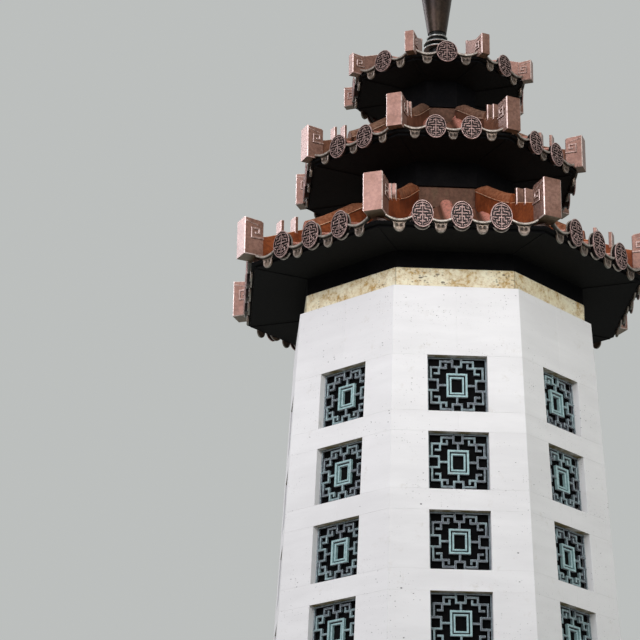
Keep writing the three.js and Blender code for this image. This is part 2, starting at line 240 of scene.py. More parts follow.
def skinned(rings: Array, loops: Sequence[Array], wear: Array | float = 0.0, front: float = 0.0) -> Patch:
    """Closed skin over a stack of rings, with flat caps on the first and the last.

    Args:
        rings: (levels, count, 3) points; each level holds all loops one after the other.
        loops: flat outlines of a ring, the outer one anticlockwise and holes clockwise.
        wear: mark of wear and painted light of the side quads, level by level.
        front: mark of wear and painted light of the last cap.

    Returns:
        The closed patch.
    """
    levels, count = rings.shape[:2]
    starts = np.cumsum([0] + [len(loop) for loop in loops])
    following = np.concatenate([
        np.roll(np.arange(len(loop)), -1) + start for loop, start in zip(loops, starts)
    ])
    low = np.arange(levels - 1)[:, None] * count
    this, after = low + np.arange(count), low + following
    quads = joined(this, after, after + count, this + count).reshape(-1, 4)
    cap = filled(loops)
    caps = np.concatenate([cap[:, ::-1], cap + (levels - 1) * count])
    return Patch(rings.reshape(-1, 3), quads, caps, wear, np.repeat([0.0, front], len(cap)))


def prism(loops: Sequence[Array], near: float, far: float, arris: float = 0.0,
          both: bool = False, side: float = 0.0, front: float = 0.0) -> Patch:
    """Closed plate from an outline, carried from the near depth to the far one.

    Args:
        loops: (n, 2) outlines, the outer one anticlockwise and holes clockwise.
        near: depth of the back cap.
        far: depth of the front cap.
        arris: width of the chamfer at the front edge, marked as rubbed, which bronze paints with a highlight.
        both: whether the back edge is chamfered too.
        side: mark of wear and painted light of the side walls.
        front: mark of wear and painted light of the front cap.

    Returns:
        Patch of (x, y, depth) points.
    """
    stations = [(arris, near), (0.0, near + arris)] if both else [(0.0, near)]
    stations += [(0.0, far - arris), (arris, far)] if arris else [(0.0, far)]
    rings = []
    for draw_in, depth in stations:
        ring = np.concatenate([inset(loop, draw_in) if draw_in else loop for loop in loops])
        rings.append(np.column_stack([ring, np.full(len(ring), depth)]))
    chamfers = np.diff([draw_in for draw_in, _ in stations]) != 0
    wear = np.repeat(np.where(chamfers, 1.0, side), len(rings[0]))
    return skinned(np.stack(rings), loops, wear, front)


def plates(loops: Sequence[Array], near: float, far: float, arris: float,
           side: float = 0.0, front: float = 0.0) -> Patch:
    """Chamfered plates over all outer outlines, each with the holes that lie inside it."""
    holes = [loop for loop in loops if signed_area(loop) < 0]
    solids = []
    for line in (loop for loop in loops if signed_area(loop) > 0):
        inside = [hole for hole in holes if encloses(line, hole[0])]
        solids.append(prism([line, *inside], near, far, arris, side=side, front=front))
    return gathered(solids)


def finely(loop: Array, step: float) -> Array:
    """An outline with points added along its edges, none further apart than the step."""
    run = np.roll(loop, -1, axis=0) - loop
    counts = np.maximum(np.ceil(np.linalg.norm(run, axis=1) / step).astype(int), 1)
    number = np.arange(counts.sum()) - np.repeat(np.cumsum(counts) - counts, counts)
    share = number / np.repeat(counts, counts)
    return np.repeat(loop, counts, axis=0) + np.repeat(run, counts, axis=0) * share[:, None]


def outline_of_bars(bars: Array) -> list[Array]:
    """Outlines of the union of upright rectangles, given as (low x, low y, high x, high y).

    The bars' edges cut the plane into cells. Each side between a solid cell and air is an edge with
    the material on its left, and the edges are followed round into loops. Points inside a straight
    run are left out.
    """
    xs, ys = (np.unique(np.round(bars[:, [axis, axis + 2]], 5)) for axis in (0, 1))
    middle_x = ((xs[1:] + xs[:-1]) / 2)[None, :, None]
    middle_y = ((ys[1:] + ys[:-1]) / 2)[:, None, None]
    within_x = (middle_x > bars[:, 0]) & (middle_x < bars[:, 2])
    within_y = (middle_y > bars[:, 1]) & (middle_y < bars[:, 3])
    solid = np.pad((within_x & within_y).any(axis=2), 1)
    steps: dict[tuple[int, int], list[tuple[int, int]]] = {}
    for row, column in np.argwhere(solid):
        i, j = int(row) - 1, int(column) - 1
        corners = [(j, i), (j + 1, i), (j + 1, i + 1), (j, i + 1)]
        around = [solid[row + down, column + right] for down, right in ((-1, 0), (0, 1), (1, 0), (0, -1))]
        for side, covered in enumerate(around):
            if not covered:
                steps.setdefault(corners[side], []).append(corners[(side + 1) % 4])
    loops = []
    while steps:
        walk = [next(iter(steps))]
        while True:
            ends = steps[walk[-1]]
            end = ends.pop()
            if not ends:
                del steps[walk[-1]]
            if end == walk[0]:
                break
            walk.append(end)
        line = np.array([[xs[j], ys[i]] for j, i in walk])
        before, after = line - np.roll(line, 1, axis=0), np.roll(line, -1, axis=0) - line
        loops.append(line[np.abs(cross(before, after)) > SMALL])
    return loops


def path_bars(path: Line | Array, width: float) -> Array:
    """Rectangles of one width along an upright and level path, reaching half a width past its ends."""
    start, end = np.array(path[:-1], float), np.array(path[1:], float)
    return np.concatenate([np.minimum(start, end) - width / 2, np.maximum(start, end) + width / 2], axis=1)


def mirrored(bars: Array) -> Array:
    """Rectangles with their copies across both axes."""
    copies = np.concatenate([bars * np.array([sx, sy, sx, sy]) for sx in (1, -1) for sy in (1, -1)])
    start, end = copies[:, :2], copies[:, 2:]
    return np.concatenate([np.minimum(start, end), np.maximum(start, end)], axis=1)


def turned(profile: Array, sides: int, stretch: Point = (1.0, 1.0),
           wear: Sequence[float] | None = None) -> Patch:
    """Closed surface from a profile of (radius, depth) turned about the depth axis.

    The point at angle a and profile step i is (r cos a, r sin a, depth), times the stretch. The
    profile starts and ends on the axis. The mark of wear and painted light, where given, has one
    number for each of its steps.
    """
    angle = np.arange(sides) * 2 * math.pi / sides
    body = profile[1:-1]
    x = body[:, None, 0] * np.cos(angle)[None] * stretch[0]
    y = body[:, None, 0] * np.sin(angle)[None] * stretch[1]
    side = grid(joined(x, y, body[:, None, 1]), wrap_columns=True)
    poles = np.array([[0, 0, profile[0, 1]], [0, 0, profile[-1, 1]]])
    near, far = (np.full(sides, len(side.points) + pole) for pole in (0, 1))
    this, following = np.arange(sides), np.roll(np.arange(sides), -1)
    last = (len(body) - 1) * sides
    fans = [joined(near, following, this), joined(far, this + last, following + last)]
    steps = np.zeros(len(profile) - 1) if wear is None else np.array(wear, float)
    return Patch(np.concatenate([side.points, poles]), side.quads, np.concatenate(fans),
                 np.repeat(steps[1:-1], sides), np.repeat(steps[[0, -1]], sides))


class Piece:
    """One named mesh, gathered from patches in the row frame."""

    def __init__(self, name: str, base: float = 0.0) -> None:
        """Starts an empty piece whose patches count their heights from a base."""
        self.name = name
        self.base = base
        self.patches: list[Patch] = []
        self.tones: list[Array] = []

    def add(self, patch: Patch, turn: float, tone: float = PLAIN_TONE) -> None:
        """Places a patch of (along, height, out) points on a face or corner, with one tone."""
        raised = patch.shifted(height=self.base)
        self.patches.append(raised.moved(lambda points: outward(points, turn)))
        self.tones.append(np.full(len(patch.quads) + len(patch.triangles), tone))

    def ring(self, patch: Patch, tones: Array | float = PLAIN_TONE, offset: float = 0.0) -> None:
        """Places a patch on every face, or on every corner with an offset of a half."""
        for face, tone in enumerate(np.broadcast_to(tones, FACES)):
            self.add(patch, face_turn(face + offset), tone)

    def build(self, material: Material, slot: Slot, replaces: Sequence[str] = (),
              smooth: float | None = None) -> None:
        """Writes the mesh, dresses it and fixes it to the frame.

        Args:
            material: finish of the piece.
            slot: the record's slot that the finish belongs to; not used.
            replaces: frame nodes that the piece stands for.
            smooth: angle in degrees under which edges are shaded round; None shades all flat.
        """
        whole = gathered(self.patches)
        quads, triangles = whole.quads, whole.triangles
        corners = np.concatenate([quads.ravel(), triangles.ravel()])
        starts = np.concatenate([np.arange(len(quads)) * 4, quads.size + np.arange(len(triangles)) * 3])
        mesh = bpy.data.meshes.new(self.name)
        mesh.vertices.add(len(whole.points))
        mesh.loops.add(len(corners))
        mesh.polygons.add(len(starts))
        mesh.vertices.foreach_set("co", whole.points.astype(np.float32).ravel())
        mesh.loops.foreach_set("vertex_index", corners.astype(np.int32))
        mesh.polygons.foreach_set("loop_start", starts.astype(np.int32))
        mesh.update(calc_edges=True)
        # This mark carries wear and painted light: on bronze, painted highlights on rubbed edges and painted
        # shade in hollows; on stone, dark joints.
        self._mark(mesh, "wear_and_light_mark", np.concatenate([whole.quad_wear, whole.triangle_wear]))
        self._mark(mesh, "tone", self._tones_in_face_order())
        mesh.polygons.foreach_set("use_smooth", np.full(len(starts), smooth is not None))
        if smooth is not None:
            mesh.set_sharp_from_angle(angle=math.radians(smooth))
        mesh.materials.append(material)
        item = bpy.data.objects.new(self.name, mesh)
        bpy.context.scene.collection.objects.link(item)
        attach(item, BODY)
        if replaces:
            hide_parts(*replaces)
        log.info("%s: %d faces", self.name, len(starts))

    def _tones_in_face_order(self) -> Array:
        """Tone of every face, quads of all patches first, as the mesh holds them."""
        both = list(zip(self.patches, self.tones))
        quads = [tones[:len(patch.quads)] for patch, tones in both]
        triangles = [tones[len(patch.quads):] for patch, tones in both]
        return np.concatenate(quads + triangles)

    @staticmethod
    def _mark(mesh: bpy.types.Mesh, name: str, values: Array) -> None:
        """Writes one number for each face as an attribute."""
        layer = mesh.attributes.new(name, "FLOAT", "FACE")
        layer.data.foreach_set("value", values.astype(np.float32))


@dataclass(frozen=True)
class Datum:
    """Heights and distances of the frame, in millimetres."""

    wall_top: float
    wall_foot: float
    apothem_top: float
    apothem_foot: float

    @classmethod
    def from_frame(cls, nodes: dict[str, bpy.types.Object]) -> Datum:
        """Reads the shaft's ends from the front wall face, which looks along -Y."""
        mesh = nodes["wall_face_1"].data
        points = np.zeros(len(mesh.vertices) * 3, np.float32)
        mesh.vertices.foreach_get("co", points)
        points = points.reshape(-1, 3) / METRES
        top, foot = points[:, 2].max(), points[:, 2].min()
        at_top = points[points[:, 2] > top - 1]
        return cls(float(top), float(foot), float(-at_top[:, 1].min()), float(-points[:, 1].min()))

    def wall(self, height: Array | float) -> Array | float:
        """Distance of the wall's face from the axis at a height."""
        share = (self.wall_top - height) / (self.wall_top - self.wall_foot)
        return self.apothem_top + share * (self.apothem_foot - self.apothem_top)


def mitred_block(line: Line, depth: float, arris: float, joint: float = 0.0) -> Patch:
    """Stone along one face of the octagon with mitred ends.

    A closed section of (out, height) points is carried from one mitre to the other: its point at
    distance r from the axis ends at plus or minus (r tan 22.5 degrees - joint / 2). The section's
    first and last outer corners get an arris, and so do the ends.

    Args:
        line: outer line of the section as (apothem, height), bottom to top.
        depth: how far the block reaches inward of its innermost outer point.
        arris: width of the chamfers.
        joint: gap between neighbouring blocks at the outer face.

    Returns:
        The closed block.
    """
    (first_out, first_height), (last_out, last_height) = line[0], line[-1]
    inner = min(out for out, _ in line) - depth
    section = np.array([
        (first_out - arris, first_height), (first_out, first_height + arris), *line[1:-1],
        (last_out, last_height - arris), (last_out - arris, last_height),
        (inner, last_height), (inner, first_height),
    ], float)
    drawn = inset(section, arris)
    rings = []
    for side, body, back in ((-1, drawn, 0.0), (-1, section, arris), (1, section, arris), (1, drawn, 0.0)):
        reach = section[:, 0] * TAN_HALF - joint / 2 - back
        rings.append(joined(side * reach, body[:, 1], body[:, 0]))
    return skinned(np.stack(rings), [section], np.repeat([1.0, 0.0, 1.0], len(section))).flipped()


@dataclass
class Plinth:
    """Two steps and a pedestal, each a ring of eight mitred blocks that run in to the heart."""

    lower_step: Line = ((590, 0), (590, 110))
    upper_step: Line = ((525, 110), (525, 220))
    pedestal: Line = ((470, 220), (470, 278), (446, 290), (446, 590), (462, 604), (462, 640))
    arris: float = 2.5
    joint: float = 1.6
    heart: float = 12.0

    def build(self, stone: Material) -> None:
        """Builds the three pieces in place of their frame nodes."""
        for node in ("lower_step", "upper_step", "pedestal"):
            line = getattr(self, node)
            piece = Piece(f"{node}_blocks")
            rng = np.random.default_rng(SEED + len(piece.name))
            depth = min(out for out, _ in line) - self.heart
            piece.ring(mitred_block(line, depth, self.arris, self.joint), rng.uniform(*STONE_TONES, FACES))
            piece.build(stone, Slot.MARBLE, [node])


@dataclass
class Shaft:
    """Marble cladding with a column of openings on each face."""

    datum: Datum
    rows: int = 10
    pitch: float = 170.0
    opening: float = 125.0
    head: float = 158.0
    slab: float = 30.0
    arris: float = 0.4

    def centre(self, row: int) -> float:
        """Height of an opening's middle, rows counted from the top."""
        return self.datum.wall_top - self.head - self.opening / 2 - row * self.pitch

    def on_face(self, patch: Patch) -> Patch:
        """Lays (along, height, depth) points on the leaning face and cuts them at the mitres."""
        def lay(points: Array) -> Array:
            out = self.datum.wall(points[:, 1]) + points[:, 2]
            along = np.clip(points[:, 0], -out * TAN_HALF, out * TAN_HALF)
            return joined(along, points[:, 1], out)
        return patch.moved(lay)

    def _course(self, low: float, high: float, gap: float) -> list[Patch]:
        """Two slabs of one course, each from a gap's half width to its corner's mitre."""
        slabs = []
        for left, right in ((-math.inf, -gap), (gap, math.inf)):
            corners = np.array([(left, low), (right, low), (right, high), (left, high)])
            reach = self.datum.wall(corners[:, 1]) * TAN_HALF
            corners[:, 0] = np.clip(corners[:, 0], -reach, reach)
            slabs.append(self.on_face(prism([corners], -self.slab, 0.0, self.arris)))
        return slabs

    def _stones(self) -> list[Patch]:
        """All slabs of one face: courses over the openings in two halves, and jambs beside them."""
        stones, top = [], self.datum.wall_top
        for row in range(self.rows):
            head, sill = self.centre(row) + self.opening / 2, self.centre(row) - self.opening / 2
            stones += self._course(head, top, 0.0) + self._course(sill, head, self.opening / 2)
            top = sill
        return stones + self._course(self.datum.wall_foot, top, 0.0)

    def build(self, stone: Material) -> None:
        """Builds the cladding of the eight faces."""
        rng = np.random.default_rng(SEED)
        stones = self._stones()
        for face in range(FACES):
            piece = Piece(f"marble_cladding_{face + 1}")
            for patch in stones:
                piece.add(patch, face_turn(face), rng.uniform(*SLAB_TONES))
            piece.build(stone, Slot.MARBLE, [f"wall_face_{face + 1}"])


@dataclass
class Grilles:
    """Cast fret panels set back in the openings, their pattern in parts of half a pane."""

    shaft: Shaft
    set_back: float = 13.0
    thick: float = 7.0
    arris: float = 0.6
    clearance: float = 0.3
    bar: float = 0.062
    frame: float = 0.042
    ring: Point = (0.352, 0.425)
    ring_bar: float = 0.066
    inner_ring: Point = (0.240, 0.308)
    inner_bar: float = 0.058
    hooks: Sequence[Line] = (
        ((0, 0.40), (0, 0.68), (0.152, 0.68), (0.152, 0.86), (0.55, 0.86), (0.55, 0.63),
         (0.365, 0.63), (0.365, 0.74)),
        ((0.33, 0), (0.64, 0), (0.64, 0.19), (0.87, 0.19), (0.87, 0.64), (0.60, 0.64),
         (0.60, 0.42), (0.74, 0.42)),
        ((0.152, 0.86), (0.152, 0.97)), ((0.87, 0.19), (0.97, 0.19)),
    )
    frame_sink: float = 1.6
    hook_sink: float = 0.8
    inner_sink: float = 2.6
    step_back: float = 3.0
    # The frame's tone of nought gives it the deep colour: a painted shade in the recess.
    frame_tone: float = 0.0
    hook_tone: float = 0.30
    ring_tone: float = 1.0

    @staticmethod
    def _ring_bars(half: Point, width: float) -> Array:
        """Four bars of a rectangular ring inside its outer half sizes."""
        x, y = half
        return mirrored(np.array([[x - width, -y, x, y], [-x, y - width, x, y]]))

    def _panel(self, half: float) -> list[tuple[Patch, float]]:
        """Frame, hooks and two rings of one panel about its own middle, each with its tone."""
        frame = self._ring_bars((1.0, 1.0), self.frame)
        hooks = mirrored(np.concatenate([path_bars(path, self.bar) for path in self.hooks]))
        ring = self._ring_bars(self.ring, self.ring_bar)
        inner = self._ring_bars(self.inner_ring, self.inner_bar)
        panel = []
        for bars, step, sink, tone in (
                (frame, 0.0, self.frame_sink, self.frame_tone), (hooks, 0.0, self.hook_sink, self.hook_tone),
                (ring, 0.0, 0.0, self.ring_tone), (inner, self.step_back, self.inner_sink, self.ring_tone)):
            loops = outline_of_bars(bars * half)
            panel.append((plates(loops, -self.thick - step, -sink, self.arris), tone))
        return panel

    def build(self, patina: Material, dark: Material) -> None:
        """Builds each face's column of panels and the dark backs behind them, in the very dark finish that
        paints the recess's shade.
        """
        edge = self.shaft.opening / 2 - self.clearance
        panel = self._panel(edge)
        square = edge * np.array([[-1, -1], [1, -1], [1, 1], [-1, 1]])
        back = prism([square], -self.shaft.slab - 2, -self.set_back - self.thick - self.step_back)
        backs = Piece("grille_backs")
        for face in range(FACES):
            piece = Piece(f"fret_grilles_{face + 1}")
            for row in range(self.shaft.rows):
                height = self.shaft.centre(row)
                for part, tone in panel:
                    placed = self.shaft.on_face(part.shifted(height=height, out=-self.set_back))
                    piece.add(placed, face_turn(face), tone)
                backs.add(self.shaft.on_face(back.shifted(height=height)), face_turn(face))
            piece.build(patina, Slot.VERDIGRIS, [f"grilles_{face + 1}"])
        backs.build(dark, Slot.CORE)


@dataclass
class StoneBand:
    """Course of eight mitred stones under the lowest soffit."""

    datum: Datum
    apothem: float = 306.5
    height: float = 46.0
    depth: float = 60.0
    arris: float = 1.2
    joint: float = 1.0

    def build(self, stone: Material) -> None:
        """Builds the course in place of the frame's band."""
        piece = Piece("band_stones")
        rng = np.random.default_rng(SEED + 3)
        low = self.datum.wall_top
        line = [(self.apothem, low), (self.apothem, low + self.height)]
        block = mitred_block(line, self.depth, self.arris, self.joint)
        piece.ring(block, rng.uniform(*STONE_TONES, FACES))
        piece.build(stone, Slot.BAND, ["stone_band"])


@dataclass(frozen=True)
class Ridge:
    """Hip ridge of one tier: lines and fins as (radius, height above the wall top)."""

    half: float
    cap: Line
    shoulder: Line
    fins: Line
    fin_thick: float
    cap_rise: float
    nose: float
    bead: float = 2.7


@dataclass(frozen=True)
class CornerBlock:
    """Block at the outer end of a hip ridge: radii and heights above the wall top."""

    outer: float
    inner: float
    half: float
    bottom: float
    top: float
    drop: float


@dataclass(frozen=True)
class Tier:
    """Sizes of one roof tier, heights counted above the wall top."""

    name: str
    eave: float
    soffit: float
    soffit_thick: float
    frieze: float
    slope: Line
    neck_top: float
    disc_height: float
    disc_at: Sequence[float]
    drip_at: Sequence[float]
    drip_top: float
    disc_size: Point
    drip_share: float
    collared: bool
    ridge: Ridge
    block: CornerBlock

    def deck(self, out: Array | float) -> Array:
        """Height of the deck at a distance out: a cubic fitted through the slope's points."""
        points = np.array(self.slope, float)
        low, high = points[-1, 0], points[0, 0]
        curve = np.polyfit(points[:, 0] - low, points[:, 1], 3)
        return np.polyval(curve, np.clip(out, low, high) - low)

    def hip(self, radius: Array | float) -> Array:
        """Height of the deck along a hip at a distance from the axis."""
        return self.deck(np.asarray(radius) * COS_HALF)


def spread(*steps: float) -> list[float]:
    """The given offsets on both sides of the middle."""
    return sorted({side * step for step in steps for side in (-1, 1)})


TIERS = (
    Tier("low", 425, 86, 6, 304, ((425, 108), (350, 131), (270, 171), (205, 217), (158, 262)), 305,
         113, spread(0, 82.5), spread(43.5, 130.5), 110, (46, 62), 0.95, True,
         Ridge(12, ((168, 303), (205, 281), (225, 268), (245, 255), (266, 243), (300, 221), (338, 203)),
               ((338, 201), (445, 158)), ((360, 225), (394, 210)), 8, 21, 28),
         CornerBlock(492, 447, 21.5, 109, 196.5, 4)),
    Tier("middle", 295, 364, 6, 164, ((295, 386), (235, 405), (175, 438), (125, 475), (79, 512)), 543,
         381, spread(39), spread(0, 84), 387, (46, 56), 0.80, False,
         Ridge(10, ((83, 544), (118, 523), (133, 513), (159, 495), (195, 472), (230, 453)),
               ((226, 451), (303, 426)), ((241, 479), (266, 469)), 7, 17, 23),
         CornerBlock(343, 304, 17.8, 375, 454, 3)),
    Tier("top", 185, 610, 5, 84, ((185, 630), (140, 643), (95, 661), (60, 679), (32, 697)), 707,
         626, spread(0), spread(44), 631, (48, 53), 0.84, False,
         Ridge(7, ((32, 699), (42, 694), (64, 684), (102, 667), (132, 656), (146, 652)),
               ((150, 685), (197, 668)), ((147, 688),), 5, 6, 16),
         CornerBlock(228, 197, 11, 617, 668, 2.5)),
)


@dataclass
class TileEnd:
    """Round disc that closes a cover tile: a drum, a rim and fret relief, and a collar behind it.

    The fret is the right half of a meander of level bars with hooked ends, in a unit square.
    """

    width: float
    height: float
    sides: int = 44
    profile: Line = (
        (0, 2), (0.84, 2), (0.84, 10.8), (0.96, 11.0), (1.0, 11.7), (1.0, 13.2), (0.975, 14.0), (0.93, 14.0),
        (0.91, 13.2), (0.90, 11.6), (0, 11.6),
    )
    # Painted shade on the drum's wall, the rim's inner wall and the field behind the fret; painted highlights
    # on the rim.
    wear: Sequence[float] = (0, -1, -0.6, 0.6, 0.8, 1, 1, 0.2, -1, -1)
    collar_profile: Line = (
        (0, 0), (0.97, 0), (1.0, 0.5), (1.0, 2.9), (0.985, 3.5), (0.91, 3.5), (0.90, 2.5), (0, 2.5),
    )
    # The collar: painted highlights on its rim and painted shade inside it.
    collar_wear: Sequence[float] = (0, 0.2, 0.4, 0.7, 0.6, -1, -1)
    collar_drop: float = 1.5
    field_depth: float = 11.6
    field_share: float = 0.88
    relief: float = 2.4
    arris: float = 0.3
    bar: float = 0.108
    step: float = 0.16
    fret: Sequence[Line] = (
        ((0, -0.92), (0, 0.92)),
        ((0, 0.90), (0.78, 0.90), (0.78, 0.64), (0.52, 0.64)),
        ((0, 0.64), (0.26, 0.64), (0.26, 0.38), (0.80, 0.38), (0.80, 0.12)),
        ((0, 0.12), (0.54, 0.12)),
        ((0, -0.14), (0.26, -0.14), (0.26, -0.40), (0.54, -0.40), (0.54, -0.66)),
        ((0.52, -0.14), (0.93, -0.14), (0.93, -0.40), (0.80, -0.40)),
        ((0, -0.66), (0.28, -0.66)),
        ((0.80, -0.66), (0.80, -0.90), (0.26, -0.90)),
    )

    def patch(self) -> Patch:
        """The disc about its own middle, its back at depth zero.

        The fret's square is drawn into a disc: x goes to x sqrt(1 - y y / 2), and y likewise.
        """
        half = np.array([self.width / 2, self.height / 2])
        body = turned(np.array(self.profile, float), self.sides, (half[0], half[1]), self.wear)
        bars = np.concatenate([path_bars(path, self.bar) for path in self.fret])
        other = bars[:, [2, 1, 0, 3]] * np.array([-1, 1, -1, 1])
        loops = [finely(loop, self.step) for loop in outline_of_bars(np.concatenate([bars, other]))]
        loops = [loop * np.sqrt(1 - loop[:, ::-1] ** 2 / 2) * half * self.field_share for loop in loops]
        near, far = self.field_depth - 0.5, self.field_depth + self.relief
        # The fret's sides take a painted shade and its face a little painted highlight.
        return gathered([body, plates(loops, near, far, self.arris, side=-1.0, front=0.5)])

    def collar(self) -> Patch:
        """The tile's own end behind the disc, a little lower."""
        stretch = (self.width / 2, self.height / 2)
        ring = turned(np.array(self.collar_profile, float), self.sides, stretch, self.collar_wear)
        return ring.shifted(height=-self.collar_drop)


@dataclass
class DripTile:
    """Drip tile between two discs: a thin hanging lip and a rounded pendant, whose size has a share."""

    share: float = 1.0
    half: float = 29.0
    sag: float = 10.0
    lip: float = 4.4
    reach: float = 10.5
    lobe: float = 12.8
    wing: float = 6.5
    pendant_drop: float = 24.0
    pendant_start: float = 3.0
    thick: float = 3.6
    lip_section: Line = ((0, 0), (-1, 0), (-1.0, 0.9), (-0.75, 1.0), (-0.1, 1.0), (0.15, 0.9), (0.1, 0.6))
    # The lip's underside takes a painted shade and its front a painted highlight, partly wear.
    lip_wear: Sequence[float] = (0.0, -0.8, 0.4, 0.8, 0.8, 0.5, 0.2)
    columns: Sequence[float] = (0.12, 0.24, 0.36, 0.52, 0.70, 0.82, 0.93, 1)
    rim_at: float = 1.6
    rim_width: float = 1.5
    rim_proud: float = 1.2
    hollow_at: Point = (4.4, 8.0)
    hollow_width: float = 2.3
    hollow_depth: float = 3.0

    def patch(self) -> Patch:
        """The drip about the middle of its upper line, its back at depth zero."""
        return gathered([self._crescent(), self._pendant()])

    def _crescent(self) -> Patch:
        """Lip carried along a parabola.

        At u from -1 to 1 the lip's upper back edge is at (half u, -sag (1 - u u)); its section of
        (height, depth) points has a front marked rubbed, partly a painted highlight, and an underside in
        painted shade.
        """
        u = np.linspace(-1, 1, 21)
        section = np.array(self.lip_section, float)
        height = -self.sag * (1 - u ** 2)[:, None] + section[None, :, 0] * self.lip
        rings = joined((self.half * u)[:, None], height, section[None, :, 1] * self.reach)[::-1]
        return skinned(rings, [section[:, ::-1]], np.tile(self.lip_wear, len(u) - 1))

    def _pendant(self) -> Patch:
        """Round lobe with wings that follow the lip, a rim and two hollows.

        At share v of the way down the half width is the lobe's times sqrt(1 - w w), where w grows
        from 0 at v = 0.46 to 1 at the foot, plus the wing's times (1 - v / 0.34) squared. The front
        stands out at the rim and sinks in the hollows.
        """
        lobe, wing, drop = (size * self.share for size in (self.lobe, self.wing, self.pendant_drop))
        share = np.concatenate([np.linspace(0, 0.9, 15), [0.95, 0.985]])
        right = np.array(self.columns)
        across = np.concatenate([-right[::-1], [0], right])
        low = np.clip((share - 0.46) / 0.54, 0, 1)
        width = lobe * np.sqrt(1 - low ** 2) + wing * np.clip(1 - share / 0.34, 0, 1) ** 2
        x = width[:, None] * across
        down = (share * drop)[:, None]
        edge = np.minimum((1 - np.abs(across))[None] * width[:, None], (1.0 - share)[:, None] * drop * 0.8)
        rim = np.clip(1 - np.abs(edge - self.rim_at) / self.rim_width, 0, 1)
        aside, below = self.hollow_at
        hollows = sum(np.exp(-((x - side) ** 2 + (down - below) ** 2) / self.hollow_width ** 2)
                      for side in (-aside, aside))
        front = self.thick + self.rim_proud * rim - self.hollow_depth * hollows
        height = -self.sag * (1 - (x / self.half) ** 2) - self.pendant_start - down
        faces = joined(x, height, front)
        backs = joined(x, height, np.zeros_like(x))[:, ::-1]
        side = grid(np.concatenate([faces, backs], axis=1)[::-1], wrap_columns=True)
        rows, columns = x.shape
        # The rim takes a painted highlight, partly wear, and the lower lobe a little; the hollows take a
        # painted shade.
        mark = np.clip(0.5 * rim + 0.25 * low[:, None] - 1.8 * hollows, -1, 1)
        wear = np.zeros((rows - 1, 2 * columns))
        wear[:, :columns - 1] = ((mark[1:, 1:] + mark[:-1, :-1]) / 2)[::-1]
        step = np.arange(columns - 1)
        strip = joined(step, step + 1, 2 * columns - 2 - step, 2 * columns - 1 - step)
        quads = np.concatenate([side.quads, strip[:, ::-1], strip + (rows - 1) * 2 * columns])
        return Patch(side.points, quads, quad_wear=np.append(wear, np.zeros(2 * len(strip))))


